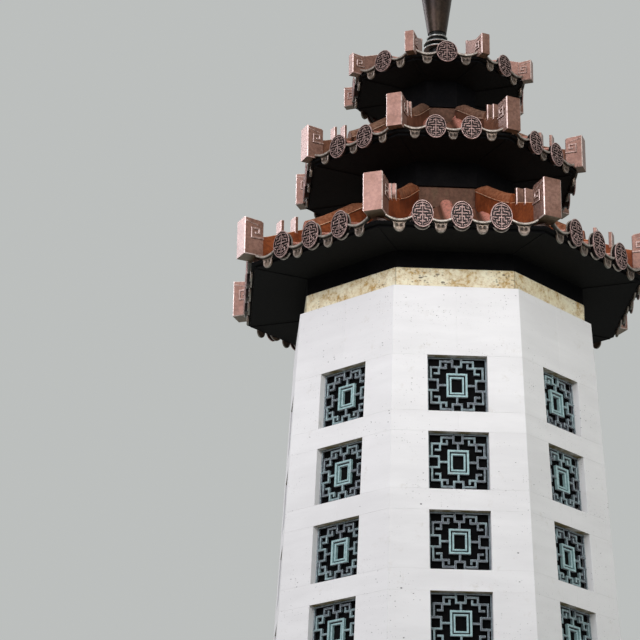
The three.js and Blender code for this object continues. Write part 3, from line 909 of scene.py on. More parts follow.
@dataclass
class Roof:
    """One bronze tier: tiled deck, eave, ridges, neck and soffit seams."""

    tier: Tier
    base: float
    cover_half: float = 15.0
    cover_rise: float = 15.0
    pan_sag: float = 9.0
    # The covers' crowns take a painted highlight, and a painted shade lies beside them.
    crown_fade: float = 1.1
    shade_reach: float = 1.25
    shade_wear: float = -0.6
    fascia_thick: float = 4.0
    gap: float = 0.3
    sunk: float = 1.5
    nose_width: float = 0.08
    nose_height: float = 0.04
    arch_proud: float = 0.6
    arris: float = 1.2
    fin_sunk: float = 8.0
    fin_proud: float = 0.6
    block_arris: float = 1.8
    spiral_proud: float = 2.4
    border_proud: float = 1.2
    spiral: Line = ((0.05, -1.05), (0.63, -1.05), (0.63, -0.57), (0.24, -0.57), (0.24, -0.81), (0.43, -0.81))
    border: Line = ((0.92, -0.24), (0.92, -0.17), (0.28, -0.34), (0.28, -0.41))
    spiral_bar: float = 0.09
    seam: Line = ((-3.0, 0.5), (-1.6, -1.6), (1.6, -1.6), (3.0, 0.5))

    def piece(self, part: str) -> Piece:
        """Starts a piece of this tier, its heights counted from the wall top."""
        return Piece(f"{part}_{self.tier.name}", self.base)

    def _pans(self, edge: float) -> tuple[Array, Array]:
        """Left and right ends of the pans, which fill what the covers leave up to an edge."""
        covers = np.array(self.tier.disc_at, float)
        ends = np.sort(np.concatenate([[-edge, edge], covers - self.cover_half, covers + self.cover_half]))
        return ends[0::2], ends[1::2]

    def _off(self, along: Array) -> Array:
        """Distance of offsets along the eave from the nearest cover's middle."""
        return np.abs(along[:, None] - np.array(self.tier.disc_at, float)).min(axis=1)

    def _cover(self, along: Array) -> Array:
        """Height of the tiles over the deck: half-round covers, and pans that sag between them."""
        over = np.sqrt(np.maximum(self.cover_half ** 2 - self._off(along) ** 2, 0))
        left, right = self._pans(self.tier.eave * TAN_HALF)
        share = (along[:, None] - (left + right) / 2) / ((right - left) / 2)
        pans = np.where(np.abs(share) < 1, 1 - share ** 2, 0).max(axis=1)
        return over * self.cover_rise / self.cover_half - pans * self.pan_sag

    def _crown(self, along: Array) -> Array:
        """Mark of the deck at offsets along the eave: a painted highlight on the covers, a painted shade
        beside them.
        """
        off = self._off(along) / self.cover_half
        beside = np.where(off < self.shade_reach, self.shade_wear, 0.0)
        return np.where(off < 1, 1.0 - self.crown_fade * off ** 4, beside)

    def _columns(self) -> Array:
        """Offsets along the eave that follow the covers' and the pans' curves."""
        edge = self.tier.eave * TAN_HALF - 0.6
        arc = self.cover_half * np.cos(np.linspace(math.pi, 0, 11))
        stops = [np.array([-edge, edge]), *(cover + arc for cover in self.tier.disc_at)]
        stops += [np.linspace(left, right, 10)[1:-1] for left, right in zip(*self._pans(edge))]
        return np.unique(np.round(np.concatenate(stops), 4))

    def deck(self, finish: Material) -> None:
        """Builds the tiled slopes, one closed wedge for each face.

        At offset s the slope runs from the hip or the neck, whichever is further out, to the eave;
        its height is the deck's plus the tiles'.
        """
        tier = self.tier
        along = self._columns()
        start = np.maximum(np.abs(along) / TAN_HALF, tier.slope[-1][0] - 2)
        out = start + np.linspace(0, 1, 18)[:, None] * (tier.eave - start)
        top = tier.deck(out) + self._cover(along)[None]
        bottom = np.full_like(top, tier.soffit + tier.soffit_thick + self.gap)
        upper, lower = (joined(along, height, out) for height in (top, bottom))
        shell = grid(np.concatenate([upper, lower[::-1]]), wrap_rows=True)
        rows, columns = out.shape
        row = np.arange(rows - 1)
        under = 2 * rows - 1 - row
        end = joined(row, row + 1, under - 1, under) * columns
        quads = np.concatenate([shell.quads, end, end[:, ::-1] + columns - 1])
        wear = np.zeros((2 * rows, columns - 1))
        wear[:rows - 1] = self._crown((along[1:] + along[:-1]) / 2)
        # The end face at the eave takes a painted shade.
        wear[rows - 1] = -1.0
        wedge = Patch(shell.points, quads, quad_wear=np.append(wear, np.zeros(2 * len(end)))).flipped()
        piece = self.piece("roof_tiles")
        piece.ring(wedge)
        piece.build(finish, Slot.BRONZE, [f"roof_{tier.name}"], smooth=40)

    def eave(self, board: Material, discs: Material, drips: Material) -> None:
        """Builds the fascia, the discs that close the cover tiles and the drips between them."""
        tier = self.tier
        rng = np.random.default_rng(SEED + int(tier.eave))
        inner = tier.eave + self.gap
        outer, foot = inner + self.fascia_thick, tier.soffit + tier.soffit_thick
        line = [(outer, foot), (outer, tier.slope[0][1] - self.pan_sag - 1)]
        seal = [(outer, foot - 0.9), (outer, foot - 0.1)]
        fascia = self.piece("eave_fascia")
        fascia.ring(mitred_block(line, depth=self.fascia_thick - 0.1, arris=0.6))
        fascia.ring(mitred_block(seal, depth=self.fascia_thick + 4.0, arris=0.2))
        # The fascia takes the very dark finish, a painted shade behind the discs and drips.
        fascia.build(board, Slot.PALE_BRONZE, [f"eave_tiles_{tier.name}"])
        ends, lips = self.piece("tile_discs"), self.piece("drip_tiles")
        tile = TileEnd(*tier.disc_size)
        disc, collar, drip = tile.patch(), tile.collar(), DripTile(tier.drip_share).patch()
        hung = []
        for offset in tier.disc_at:
            hung.append((ends, disc.shifted(offset, tier.disc_height, inner)))
            if tier.collared:
                hung.append((lips, collar.shifted(offset, tier.disc_height, inner)))
        hung += [(lips, drip.shifted(offset, tier.drip_top, inner + 1)) for offset in tier.drip_at]
        for face in range(FACES):
            for piece, patch in hung:
                piece.add(patch, face_turn(face), rng.uniform(*CAST_TONES))
        ends.build(discs, Slot.PALE_BRONZE, smooth=38)
        lips.build(drips, Slot.PALE_BRONZE, smooth=45)

    def _cap(self) -> Patch:
        """Inner stretch of a ridge: a wall with a bead and a round-topped cap.

        Its section of (thickness, height) points is carried outward along the cap's foot; the wall
        goes down to the deck, the bead stands proud of it, and a half ellipse closes it. Near the
        neck's corner the section narrows and sinks evenly to a blunt nose.
        """
        ridge = self.tier.ridge
        line = np.array(ridge.cap, float)
        neck = self.tier.slope[-1][0] / COS_HALF - 3
        radius = neck + (line[-1, 0] - neck) * np.linspace(0, 1, 22) ** 1.5
        base = np.polyval(np.polyfit(line[:, 0] - neck, line[:, 1], 3), radius - neck)
        slim = np.clip((radius - neck) / ridge.nose, self.nose_width, 1)
        growth = np.clip((radius - neck) / (2 * ridge.nose), self.nose_height, 1)
        foot = self.tier.hip(radius) - self.sunk
        half, bead = ridge.half, ridge.bead
        turn = np.linspace(0, math.pi, 13)
        wide = half + self.arch_proud
        arch = joined(wide * np.cos(turn), ridge.cap_rise * np.sin(turn))
        right = np.array([
            (half, -2 * bead), (half + bead, -1.4 * bead), (half + bead, -0.6 * bead), (wide, -0.1),
        ])
        ring = np.concatenate([right, arch, right[::-1] * np.array([-1, 1])])
        points = np.zeros((len(radius), len(ring) + 2, 3))
        points[:, :, 0] = radius[:, None]
        lift = np.where(ring[None, :, 1] > 0, growth[:, None], 1.0)
        points[:, 1:-1, 1] = base[:, None] + lift * ring[None, :, 1]
        points[:, 1:-1, 2] = slim[:, None] * ring[None, :, 0]
        for end, step, side in ((0, 1, 1), (-1, -2, -1)):
            points[:, end, 1], points[:, end, 2] = foot, side * slim * half
            points[:, step, 1] = np.maximum(points[:, step, 1], foot + 1)
        # Painted shade under the bead and at the wall's foot, a painted highlight on the bead's face, partly
        # wear; the cap a little.
        side_wear_and_light = [-0.1, -0.5, 1.0, 0.0, 0.0]
        wear = [*side_wear_and_light, *[0.2] * (len(turn) - 1), *side_wear_and_light[::-1], 0.0]
        return skinned(points, [points[0][:, [2, 1]]], np.tile(wear, len(radius) - 1)).flipped()

    def _shoulder_top(self, out: Array | float) -> Array:
        """Height of the shoulder's upper line at a distance from the axis."""
        start, end = self.tier.ridge.shoulder
        return np.interp(out, [start[0], end[0]], [start[1], end[1]])

    def _shoulder(self) -> Patch:
        """Outer stretch of a ridge, from the cap's end into the corner block."""
        ridge = self.tier.ridge
        radius = np.linspace(ridge.shoulder[0][0] - 4, self.tier.block.inner + 3, 8)
        foot, top = self.tier.hip(radius) - self.sunk, self._shoulder_top(radius)
        lower, upper = (joined(radius, height) for height in (foot, top))
        return prism([np.concatenate([lower, upper[::-1]])], -ridge.half, ridge.half, self.arris, both=True)

    def _fins(self) -> list[Patch]:
        """Upright plates across the shoulder."""
        ridge = self.tier.ridge
        half = ridge.half + self.fin_proud
        fins = []
        for out, top in ridge.fins:
            foot = float(self._shoulder_top(out)) - self.fin_sunk
            far = out + ridge.fin_thick
            line = np.array([[out, foot], [far, foot], [far, top - 1.5], [out, top]], float)
            fins.append(prism([line], -half, half, self.arris, both=True))
        return fins

    def _block(self) -> list[Patch]:
        """Corner block with a sloping border line and a squared spiral in relief on both sides.

        The relief's points are shares of the block's width, inward end and top as zero.
        """
        block, tier = self.tier.block, self.tier
        inner, outer, low = block.inner, block.outer, block.top - block.drop
        past = (tier.eave + self.gap + self.fascia_thick) / COS_HALF + 1
        width = outer - inner
        line = np.array([
            [inner, float(tier.hip(inner)) - self.sunk], [past, block.bottom], [outer, block.bottom],
            [outer, block.top], [inner + 0.12 * width, low], [inner, low - 0.08 * width],
        ])
        corner = np.array([inner, block.top])
        bars = path_bars(np.array(self.spiral) * width + corner, self.spiral_bar * width)
        border = np.array(self.border) * width + corner
        face = block.half - 1
        spiral_top, border_top = block.half + self.spiral_proud, block.half + self.border_proud
        # The reliefs' sides take a painted shade and their faces a little painted highlight.
        relief = [plates(outline_of_bars(bars), face, spiral_top, arris=0.7, side=-0.7, front=0.25),
                  prism([border], face, border_top, arris=0.6, side=-0.3, front=0.1)]
        other = [patch.moved(lambda p: p * np.array([1, 1, -1])).flipped() for patch in relief]
        return [prism([line], -block.half, block.half, self.block_arris, both=True), *relief, *other]

    def ridges(self, finish: Material, blocks: Material, necks: Material) -> None:
        """Builds the eight hip ridges, the corner blocks and the neck."""
        tier = self.tier
        rng = np.random.default_rng(SEED + 7 + int(tier.eave))
        ridge_piece, block_piece = self.piece("hip_ridges"), self.piece("corner_blocks")
        tones = rng.uniform(*CAST_TONES, FACES)
        ridge_piece.ring(gathered([self._cap(), self._shoulder()]).across(), tones, CORNER)
        block_piece.ring(gathered([*self._block(), *self._fins()]).across(), tones, CORNER)
        ridge_piece.build(finish, Slot.BRONZE, [f"ridges_{tier.name}"], smooth=38)
        block_piece.build(blocks, Slot.BRONZE)
        out, foot = tier.slope[-1]
        wall = mitred_block([(out, foot - 6), (out, tier.neck_top)], depth=12.0, arris=0.8)
        neck = self.piece("neck")
        neck.ring(wall, rng.uniform(*STONE_TONES, FACES))
        neck.build(necks, Slot.BRONZE)

    def seams(self, finish: Material) -> None:
        """Builds the low battens that cover the soffit's mitres."""
        tier = self.tier
        start, end = tier.frieze / COS_HALF, (tier.eave - 6) / COS_HALF
        line = np.array(self.seam) + np.array([0, tier.soffit])
        piece = self.piece("soffit_seams")
        piece.ring(prism([line], start, end, arris=0.4, both=True), offset=CORNER)
        piece.build(finish, Slot.DARK_BRONZE)


@dataclass
class Finial:
    """Three rings at the foot, a flaring post and a pointed bud on the axis."""

    base: float
    foot: float = 700.0
    rings_top: float = 776.0
    core: float = 20.0
    lips: Line = ((32.6, 734.5), (32.2, 747.5), (24.6, 764))
    lip_half: float = 1.9
    sides: int = 64
    post: Line = ((22, 776), (24, 790), (28.2, 818), (32, 845), (36, 872), (40, 900))
    bud: Line = ((40, 900), (44, 916), (43, 940), (35, 970), (22, 996), (9, 1018), (0, 1040))

    def _turned(self, name: str, profile: Array, finish: Material, slot: Slot, node: str,
                wear: Sequence[float] | None = None) -> None:
        """Builds a turned piece from (radius, height above the wall top)."""
        patch = turned(profile, self.sides, wear=wear)
        piece = Piece(name, self.base)
        piece.add(patch.moved(lambda p: joined(p[:, 0], p[:, 2], -p[:, 1])), face_turn(0))
        piece.build(finish, slot, [node], smooth=35)

    def build(self, dark: Material, bronze: Material) -> None:
        """Builds the rings, the post and the bud; the post's radius is a cubic of its height."""
        core, half = self.core, self.lip_half
        line, wear = [(0, self.foot), (core, self.foot)], [0.0]
        for radius, middle in self.lips:
            line += [(core, middle - half), (radius - 1, middle - half), (radius, middle - half / 2),
                     (radius, middle + half / 2), (radius - 1, middle + half), (core, middle + half)]
            # Painted shade on the post between the lips and under them, a painted highlight on their rims,
            # partly wear.
            wear += [-1.0, -0.3, 1.0, 1.0, 1.0, 0.0]
        line += [(core, self.rings_top), (0, self.rings_top)]
        wear += [-1.0, 0.0]
        self._turned("finial_collar", np.array(line, float), dark, Slot.DARK_BRONZE, "finial_rings", wear)
        source = np.array(self.post, float)
        heights = np.linspace(source[0, 1], source[-1, 1], 14)
        radii = np.polyval(np.polyfit(source[:, 1] - source[0, 1], source[:, 0], 3), heights - heights[0])
        post = joined(radii, heights)
        closed = np.concatenate([[[0, heights[0]]], post, [[0, heights[-1]]]])
        self._turned("finial_stem", closed, bronze, Slot.BRONZE, "finial_post")
        bud = self._rounded(np.array(self.bud, float))
        self._turned("finial_tip", bud, bronze, Slot.BRONZE, "finial_bud")

    @staticmethod
    def _rounded(body: Array) -> Array:
        """A smooth curve through a profile's points, after a first point on the axis."""
        along = np.concatenate([[0], np.cumsum(np.linalg.norm(np.diff(body, axis=0), axis=1))])
        fine = np.linspace(0, along[-1], 28)
        points = np.stack([np.polyval(np.polyfit(along, body[:, i], 5), fine) for i in range(2)], axis=1)
        points[0], points[-1] = body[0], body[-1]
        points[:, 0] = np.maximum(points[:, 0], 0)
        return np.concatenate([[[0, body[0, 1]]], points])


class Sheet:
    """Short calls that add nodes to a tree and join them."""

    def __init__(self, tree: Tree) -> None:
        """Works on one tree."""
        self.tree = tree

    @classmethod
    def group(cls, name: str, colours: Sequence[str], numbers: Sequence[str]) -> Sheet:
        """Starts a node group that takes colours and numbers and puts out three values."""
        tree = bpy.data.node_groups.new(name, "ShaderNodeTree")
        sockets = (("INPUT", "Color", colours), ("INPUT", "Float", numbers),
                   ("OUTPUT", "Color", ("Color",)), ("OUTPUT", "Float", ("Roughness", "Height")))
        for side, kind, labels in sockets:
            for label in labels:
                tree.interface.new_socket(name=label, in_out=side, socket_type=f"NodeSocket{kind}")
        return cls(tree)

    def put_out(self, colour: Socket, roughness: Socket, height: Socket) -> Tree:
        """Joins the group's three outputs and returns its tree."""
        result = self.tree.nodes.new("NodeGroupOutput").inputs
        for label, value in (("Color", colour), ("Roughness", roughness), ("Height", height)):
            self.tree.links.new(value, result[label])
        return self.tree

    def add(self, kind: str, inputs: dict | None = None, **settings: object) -> bpy.types.Node:
        """Adds a node.

        Args:
            kind: the node's type name without its Shader prefix.
            inputs: values or sockets by input name or number.
            settings: the node's own properties.

        Returns:
            The node.
        """
        node = self.tree.nodes.new("ShaderNode" + kind)
        for name, value in settings.items():
            setattr(node, name, value)
        for name, value in (inputs or {}).items():
            if isinstance(value, Socket):
                self.tree.links.new(value, node.inputs[name])
            else:
                node.inputs[name].default_value = value
        return node

    def mix(self, share: object, first: object, second: object, blend: str = "MIX") -> Socket:
        """Colour between two by a share."""
        return self.add("Mix", {0: share, 6: first, 7: second}, data_type="RGBA", blend_type=blend).outputs[2]

    def calc(self, operation: str, first: object, second: object, clamp: bool = False) -> Socket:
        """Result of one sum on two numbers."""
        return self.add("Math", {0: first, 1: second}, operation=operation, use_clamp=clamp).outputs[0]

    def plus(self, first: object, second: object, clamp: bool = False) -> Socket:
        """Sum of two numbers."""
        return self.calc("ADD", first, second, clamp)

    def minus(self, first: object, second: object) -> Socket:
        """Difference of two numbers."""
        return self.calc("SUBTRACT", first, second)

    def times(self, first: object, second: object, clamp: bool = False) -> Socket:
        """Product of two numbers."""
        return self.calc("MULTIPLY", first, second, clamp)

    def ramp(self, value: object, low: float, high: float, to_low: float = 0.0,
             to_high: float = 1.0) -> Socket:
        """Smooth step from low to high."""
        inputs = {0: value, 1: low, 2: high, 3: to_low, 4: to_high}
        return self.add("MapRange", inputs, interpolation_type="SMOOTHSTEP").outputs[0]

    def noise(self, place: object, scale: float, detail: float = 3.0, rough: float = 0.55) -> Socket:
        """Soft noise over a place, features one over scale of a metre wide."""
        inputs = {"Vector": place, "Scale": scale, "Detail": detail, "Roughness": rough}
        return self.add("TexNoise", inputs).outputs[0]

    def place(self, scale: Colour = (1.0, 1.0, 1.0)) -> Socket:
        """Object coordinates, stretched by a scale along each axis."""
        coordinates = self.add("TexCoord").outputs["Object"]
        return self.add("Mapping", {"Vector": coordinates, "Scale": scale}).outputs[0]

    def mark(self, name: str) -> Socket:
        """A face attribute as a number."""
        return self.add("Attribute", attribute_name=name).outputs["Fac"]

    def rise(self) -> Socket:
        """How far the surface looks up, from -1 to 1."""
        return self.add("SeparateXYZ", {0: self.add("NewGeometry").outputs["Normal"]}).outputs[2]


def rgba(colour: Colour) -> tuple[float, float, float, float]:
    """A linear colour with full alpha."""
    return (*colour, 1.0)


def stone_group() -> Tree:
    """Pitted stone: faint bedding, tone by block, stains, painted shade on faces that look down, small dark
    pits and soiled joints.

    Each size of pit has a scale, a squash along the height, a chance to be left out and a width.
    """
    sheet = Sheet.group("pitted_stone", ("Body", "Shade", "Stain", "Soil", "Underside"),
                        ("Stain Share", "Pit Size", "Joint Share"))
    given = sheet.tree.nodes.new("NodeGroupInput").outputs
    place = sheet.place()
    bedding = sheet.noise(sheet.place((1.0, 1.0, 5.0)), 6.0, 5.0, 0.6)
    cloud = sheet.noise(place, 2.3, 3.0)
    shade = sheet.ramp(sheet.times(sheet.plus(bedding, cloud), 0.5), 0.35, 0.68)
    shade = sheet.plus(shade, sheet.minus(sheet.mark("tone"), PLAIN_TONE), clamp=True)
    colour = sheet.mix(shade, given["Body"], given["Shade"])
    limit = sheet.times(sheet.minus(1.0, given["Stain Share"]), 0.62)
    stain = sheet.times(sheet.minus(sheet.noise(place, 25.0, 6.0, 0.78), limit), 6.0, clamp=True)
    speckle = sheet.ramp(sheet.noise(place, 95.0, 4.0, 0.75), 0.42, 0.62, 0.35, 1.0)
    colour = sheet.mix(sheet.times(stain, speckle), colour, given["Stain"])
    # Faces that look down take the underside colour, mottled by noise: a painted shade.
    shade_mottle = sheet.ramp(sheet.noise(place, 30.0, 4.0, 0.65), 0.30, 0.62, 0.45, 1.0)
    under = sheet.times(sheet.ramp(sheet.rise(), -0.76, -0.94), shade_mottle)
    colour = sheet.mix(under, colour, given["Underside"])
    pits = []
    for scale, squash, chance, width in PIT_SIZES:
        cells = sheet.add("TexVoronoi", {"Vector": sheet.place((1.0, 1.0, squash)), "Scale": scale})
        chosen = sheet.add("SeparateColor", {0: cells.outputs["Color"]})
        kept = sheet.ramp(chosen.outputs[0], chance, chance + 0.12)
        radius = sheet.times(sheet.times(chosen.outputs[1], width), given["Pit Size"])
        pits.append(sheet.times(sheet.calc("LESS_THAN", cells.outputs["Distance"], radius), kept))
    crowd = sheet.ramp(sheet.noise(place, 7.0, 2.0), 0.41, 0.57)
    pits[1] = sheet.times(pits[1], crowd)
    pits[2] = sheet.times(sheet.times(pits[2], crowd), 0.7)
    pit = sheet.calc("MAXIMUM", sheet.calc("MAXIMUM", pits[0], pits[1]), pits[2])
    colour = sheet.mix(sheet.times(pit, 0.86), colour, given["Soil"])
    seam = sheet.times(sheet.mark("wear_and_light_mark"), given["Joint Share"], clamp=True)
    colour = sheet.mix(seam, colour, given["Soil"])
    grain = sheet.times(sheet.noise(place, 420.0, 2.0), 0.12)
    return sheet.put_out(colour, sheet.ramp(bedding, 0.2, 0.8, 0.5, 0.75), sheet.minus(grain, pit))


def bronze_group() -> Tree:
    """Weathered bronze: blotched body, hollows in deep painted shade, rubbed arrises partly painted as
    highlights, drip streaks and patina.
    """
    sheet = Sheet.group("weathered_bronze", ("Body", "Deep", "Bright", "Patina", "Hollow"),
                        ("Patina Share", "Smooth", "Rough", "Tone Share"))
    given = sheet.tree.nodes.new("NodeGroupInput").outputs
    place = sheet.place()
    blotch = sheet.noise(place, 16.0, 4.0, 0.6)
    fine = sheet.noise(place, 150.0, 4.0, 0.65)
    streak = sheet.noise(sheet.place((1.0, 1.0, 0.12)), 75.0, 3.0, 0.6)
    tone = sheet.times(sheet.minus(sheet.mark("tone"), PLAIN_TONE), given["Tone Share"])
    depth = sheet.plus(sheet.ramp(blotch, 0.32, 0.66), tone, clamp=True)
    colour = sheet.mix(depth, given["Deep"], given["Body"])
    rise = sheet.rise()
    colour = sheet.mix(sheet.times(sheet.ramp(rise, -0.4, -0.85), 0.75), colour, given["Patina"])
    patches = sheet.plus(sheet.times(blotch, 0.45), sheet.times(streak, 0.55))
    limit = sheet.minus(0.72, sheet.times(given["Patina Share"], 0.4))
    patina = sheet.times(sheet.minus(patches, limit), 9.0, clamp=True)
    patina = sheet.times(patina, sheet.ramp(rise, 0.2, 0.8, 0.55, 1.0))
    patina = sheet.times(patina, sheet.ramp(fine, 0.3, 0.6, 0.5, 1.0))
    colour = sheet.mix(patina, colour, given["Patina"])
    # Faces marked above nought take the bright colour, partly wear and partly a painted highlight; faces
    # marked below nought take the hollow colour, a painted shade.
    wear_and_light_mark = sheet.mark("wear_and_light_mark")
    rubbed_and_highlit = sheet.times(wear_and_light_mark, sheet.ramp(fine, 0.3, 0.6, 0.45, 1.0), clamp=True)
    colour = sheet.mix(rubbed_and_highlit, colour, given["Bright"])
    colour = sheet.mix(sheet.times(wear_and_light_mark, -0.9, clamp=True), colour, given["Hollow"])
    mottle = sheet.mix(sheet.ramp(fine, 0.35, 0.65), rgba((0.25, 0.25, 0.25)), rgba((0.75, 0.75, 0.75)))
    colour = sheet.mix(0.5, colour, mottle, "SOFT_LIGHT")
    rough = sheet.plus(sheet.times(fine, 0.6), sheet.times(patina, 0.6), clamp=True)
    rough = sheet.plus(given["Smooth"], sheet.times(rough, sheet.minus(given["Rough"], given["Smooth"])))
    return sheet.put_out(colour, rough, sheet.plus(sheet.times(fine, 0.5), sheet.times(blotch, 0.5)))


@dataclass(frozen=True)
class Finish:
    """A material's name, its body colour, its own shader values and the height of its bump in metres."""

    name: str
    body: Colour
    bump: float = 0.0009

    def constants(self) -> dict[str, float]:
        """The shader's own values by socket name."""
        return {}

    def material(self, group: Tree) -> Material:
        """Makes a material whose colour, roughness and bump come from a group.

        Each input of the group takes the value of the finish's field of that name.
        """
        material = bpy.data.materials.new(self.name)
        material.use_nodes = True
        tree = material.node_tree
        shader = tree.nodes["Principled BSDF"]
        node = tree.nodes.new("ShaderNodeGroup")
        node.node_tree = group
        for socket in node.inputs:
            value = getattr(self, socket.name.lower().replace(" ", "_"))
            socket.default_value = rgba(value) if isinstance(value, tuple) else value
        values = {"Height": node.outputs["Height"], "Strength": 1.0, "Distance": self.bump}
        relief = Sheet(tree).add("Bump", values)
        tree.links.new(node.outputs["Color"], shader.inputs["Base Color"])
        tree.links.new(node.outputs["Roughness"], shader.inputs["Roughness"])
        tree.links.new(relief.outputs[0], shader.inputs["Normal"])
        for label, value in self.constants().items():
            shader.inputs[label].default_value = value
        return material


@dataclass(frozen=True, kw_only=True)
class StoneFinish(Finish):
    """A stone's colours and its share of stains, pits and dark joints."""

    shade: Colour
    stain: Colour
    soil: Colour
    # Colour of faces that look down: a painted shade.
    underside: Colour
    stain_share: float
    pit_size: float
    joint_share: float

    def constants(self) -> dict[str, float]:
        """The shader's own values by socket name."""
        return {"Specular IOR Level": 0.3}


@dataclass(frozen=True, kw_only=True)
class BronzeFinish(Finish):
    """A bronze's colours, gloss and share of patina."""

    deep: Colour
    # Bright colour of rubbed arrises: partly wear, partly a painted highlight.
    bright: Colour
    patina: Colour
    # Colour of the hollows: a painted shade.
    hollow: Colour
    patina_share: float = 0.3
    smooth: float = 0.34
    rough: float = 0.62
    metallic: float = 0.8
    specular: float = 0.5
    coat: float = 0.0
    tone_share: float = 0.5
    bump: float = 0.0006

    def constants(self) -> dict[str, float]:
        """The shader's own values by socket name."""
        return {"Metallic": self.metallic, "Specular IOR Level": self.specular, "Coat Weight": self.coat,
                "Coat Roughness": 0.32}


MARBLE = StoneFinish(
    "pitted_marble", (0.82, 0.81, 0.81), shade=(0.74, 0.73, 0.73), stain=(0.62, 0.59, 0.55),
    soil=(0.10, 0.095, 0.09), underside=(0.17, 0.13, 0.05), stain_share=0.05, pit_size=1.05, joint_share=0.02,
)
BAND_STONE = StoneFinish(
    "stained_band_stone", (0.90, 0.85, 0.67), shade=(0.84, 0.76, 0.54), stain=(0.47, 0.29, 0.09),
    soil=(0.10, 0.07, 0.04), underside=(0.2, 0.15, 0.08), stain_share=0.34, pit_size=2.5, joint_share=0.4,
)
RIDGE_BRONZE = BronzeFinish(
    "ridge_bronze", (0.29, 0.078, 0.024), deep=(0.14, 0.032, 0.009), bright=(0.66, 0.38, 0.24),
    patina=(0.17, 0.11, 0.045), hollow=(0.02, 0.008, 0.004), patina_share=0.25, smooth=0.5, rough=0.78,
    metallic=0.45, specular=0.22,
)
# A darker copy of the ridge finish for the middle tier: a painted shade.
SHADED_RIDGE_BRONZE = replace(
    RIDGE_BRONZE, name="upper_ridge_bronze", body=(0.19, 0.085, 0.05), deep=(0.10, 0.04, 0.022),
    bright=(0.50, 0.34, 0.25), patina=(0.14, 0.10, 0.05),
)
NECK_BRONZE = BronzeFinish(
    "neck_bronze", (0.115, 0.058, 0.038), deep=(0.055, 0.025, 0.015), bright=(0.22, 0.15, 0.12),
    patina=(0.085, 0.07, 0.04), hollow=(0.02, 0.01, 0.007), smooth=0.5, rough=0.78, metallic=0.45,
    specular=0.25,
)
BLOCK_BRONZE = BronzeFinish(
    "block_bronze", (0.26, 0.135, 0.100), deep=(0.17, 0.078, 0.050), bright=(0.74, 0.58, 0.53),
    patina=(0.13, 0.105, 0.055), hollow=(0.03, 0.014, 0.010), patina_share=0.25, smooth=0.38, metallic=0.7,
    coat=0.4,
)
DISC_BRONZE = BronzeFinish(
    "disc_bronze", (0.125, 0.070, 0.062), deep=(0.065, 0.034, 0.028), bright=(0.44, 0.30, 0.28),
    patina=(0.13, 0.115, 0.08), hollow=(0.003, 0.002, 0.002), metallic=0.55, specular=0.3, coat=0.1,
)
DRIP_BRONZE = BronzeFinish(
    "drip_bronze", (0.185, 0.132, 0.098), deep=(0.075, 0.05, 0.035), bright=(0.43, 0.38, 0.34),
    patina=(0.16, 0.165, 0.13), hollow=(0.010, 0.007, 0.005), patina_share=0.42, metallic=0.5, coat=0.2,
)
# Its bright colour is the painted highlight on the covers' crowns.
DECK_BRONZE = BronzeFinish(
    "deck_bronze", (0.28, 0.13, 0.085), deep=(0.14, 0.055, 0.03), bright=(0.92, 0.38, 0.29),
    patina=(0.18, 0.16, 0.10), hollow=(0.03, 0.012, 0.008), metallic=0.3, coat=0.2,
)
# Very dark finish for the soffits, friezes, fascias, soffit seams, core and grille backs: a painted shade for
# the deep shade under the roofs.
SHADE_BLACK_BRONZE = BronzeFinish(
    "blackened_bronze", (0.0045, 0.0042, 0.0045), deep=(0.0022, 0.0022, 0.0028),
    bright=(0.0060, 0.0055, 0.0055), patina=(0.008, 0.008, 0.007), hollow=(0.001, 0.001, 0.001),
    patina_share=0.2, smooth=0.7, rough=0.9, metallic=0.0, specular=0.06,
)
FINIAL_BRONZE = BronzeFinish(
    "finial_bronze", (0.034, 0.021, 0.014), deep=(0.015, 0.010, 0.008), bright=(0.34, 0.30, 0.27),
    patina=(0.07, 0.06, 0.05), hollow=(0.01, 0.01, 0.01), rough=0.54, coat=0.05,
)
COLLAR_BRONZE = BronzeFinish(
    "collar_bronze", (0.15, 0.15, 0.15), deep=(0.05, 0.048, 0.047), bright=(0.50, 0.52, 0.50),
    patina=(0.18, 0.19, 0.17), hollow=(0.003, 0.003, 0.003), smooth=0.24, rough=0.45,
)
VERDIGRIS = BronzeFinish(
    "verdigris_grille", (0.31, 0.47, 0.48), deep=(0.10, 0.108, 0.132), bright=(0.46, 0.58, 0.60),
    patina=(0.33, 0.31, 0.33), hollow=(0.02, 0.03, 0.03), patina_share=0.28, smooth=0.5, rough=0.8,
    metallic=0.1, tone_share=1.6,
)


@dataclass(frozen=True)
class Softbox:
    """Large area light that looks from one point to another and shines into a cone, in metres."""

    name: str
    at: Place
    to: Place
    size: Point
    power: float
    colour: Colour
    cone: float = 180.0

    def build(self) -> None:
        """Adds the light, unseen by the camera."""
        light = bpy.data.lights.new(self.name, "AREA")
        light.shape = "RECTANGLE"
        light.size, light.size_y = self.size
        light.energy = self.power
        light.color = self.colour
        light.spread = math.radians(self.cone)
        item = bpy.data.objects.new(self.name, light)
        aim = (Vector(self.to) - Vector(self.at)).to_track_quat("-Z", "Y")
        item.matrix_world = Matrix.Translation(self.at) @ aim.to_matrix().to_4x4()
        item.visible_camera = False
        bpy.context.scene.collection.objects.link(item)


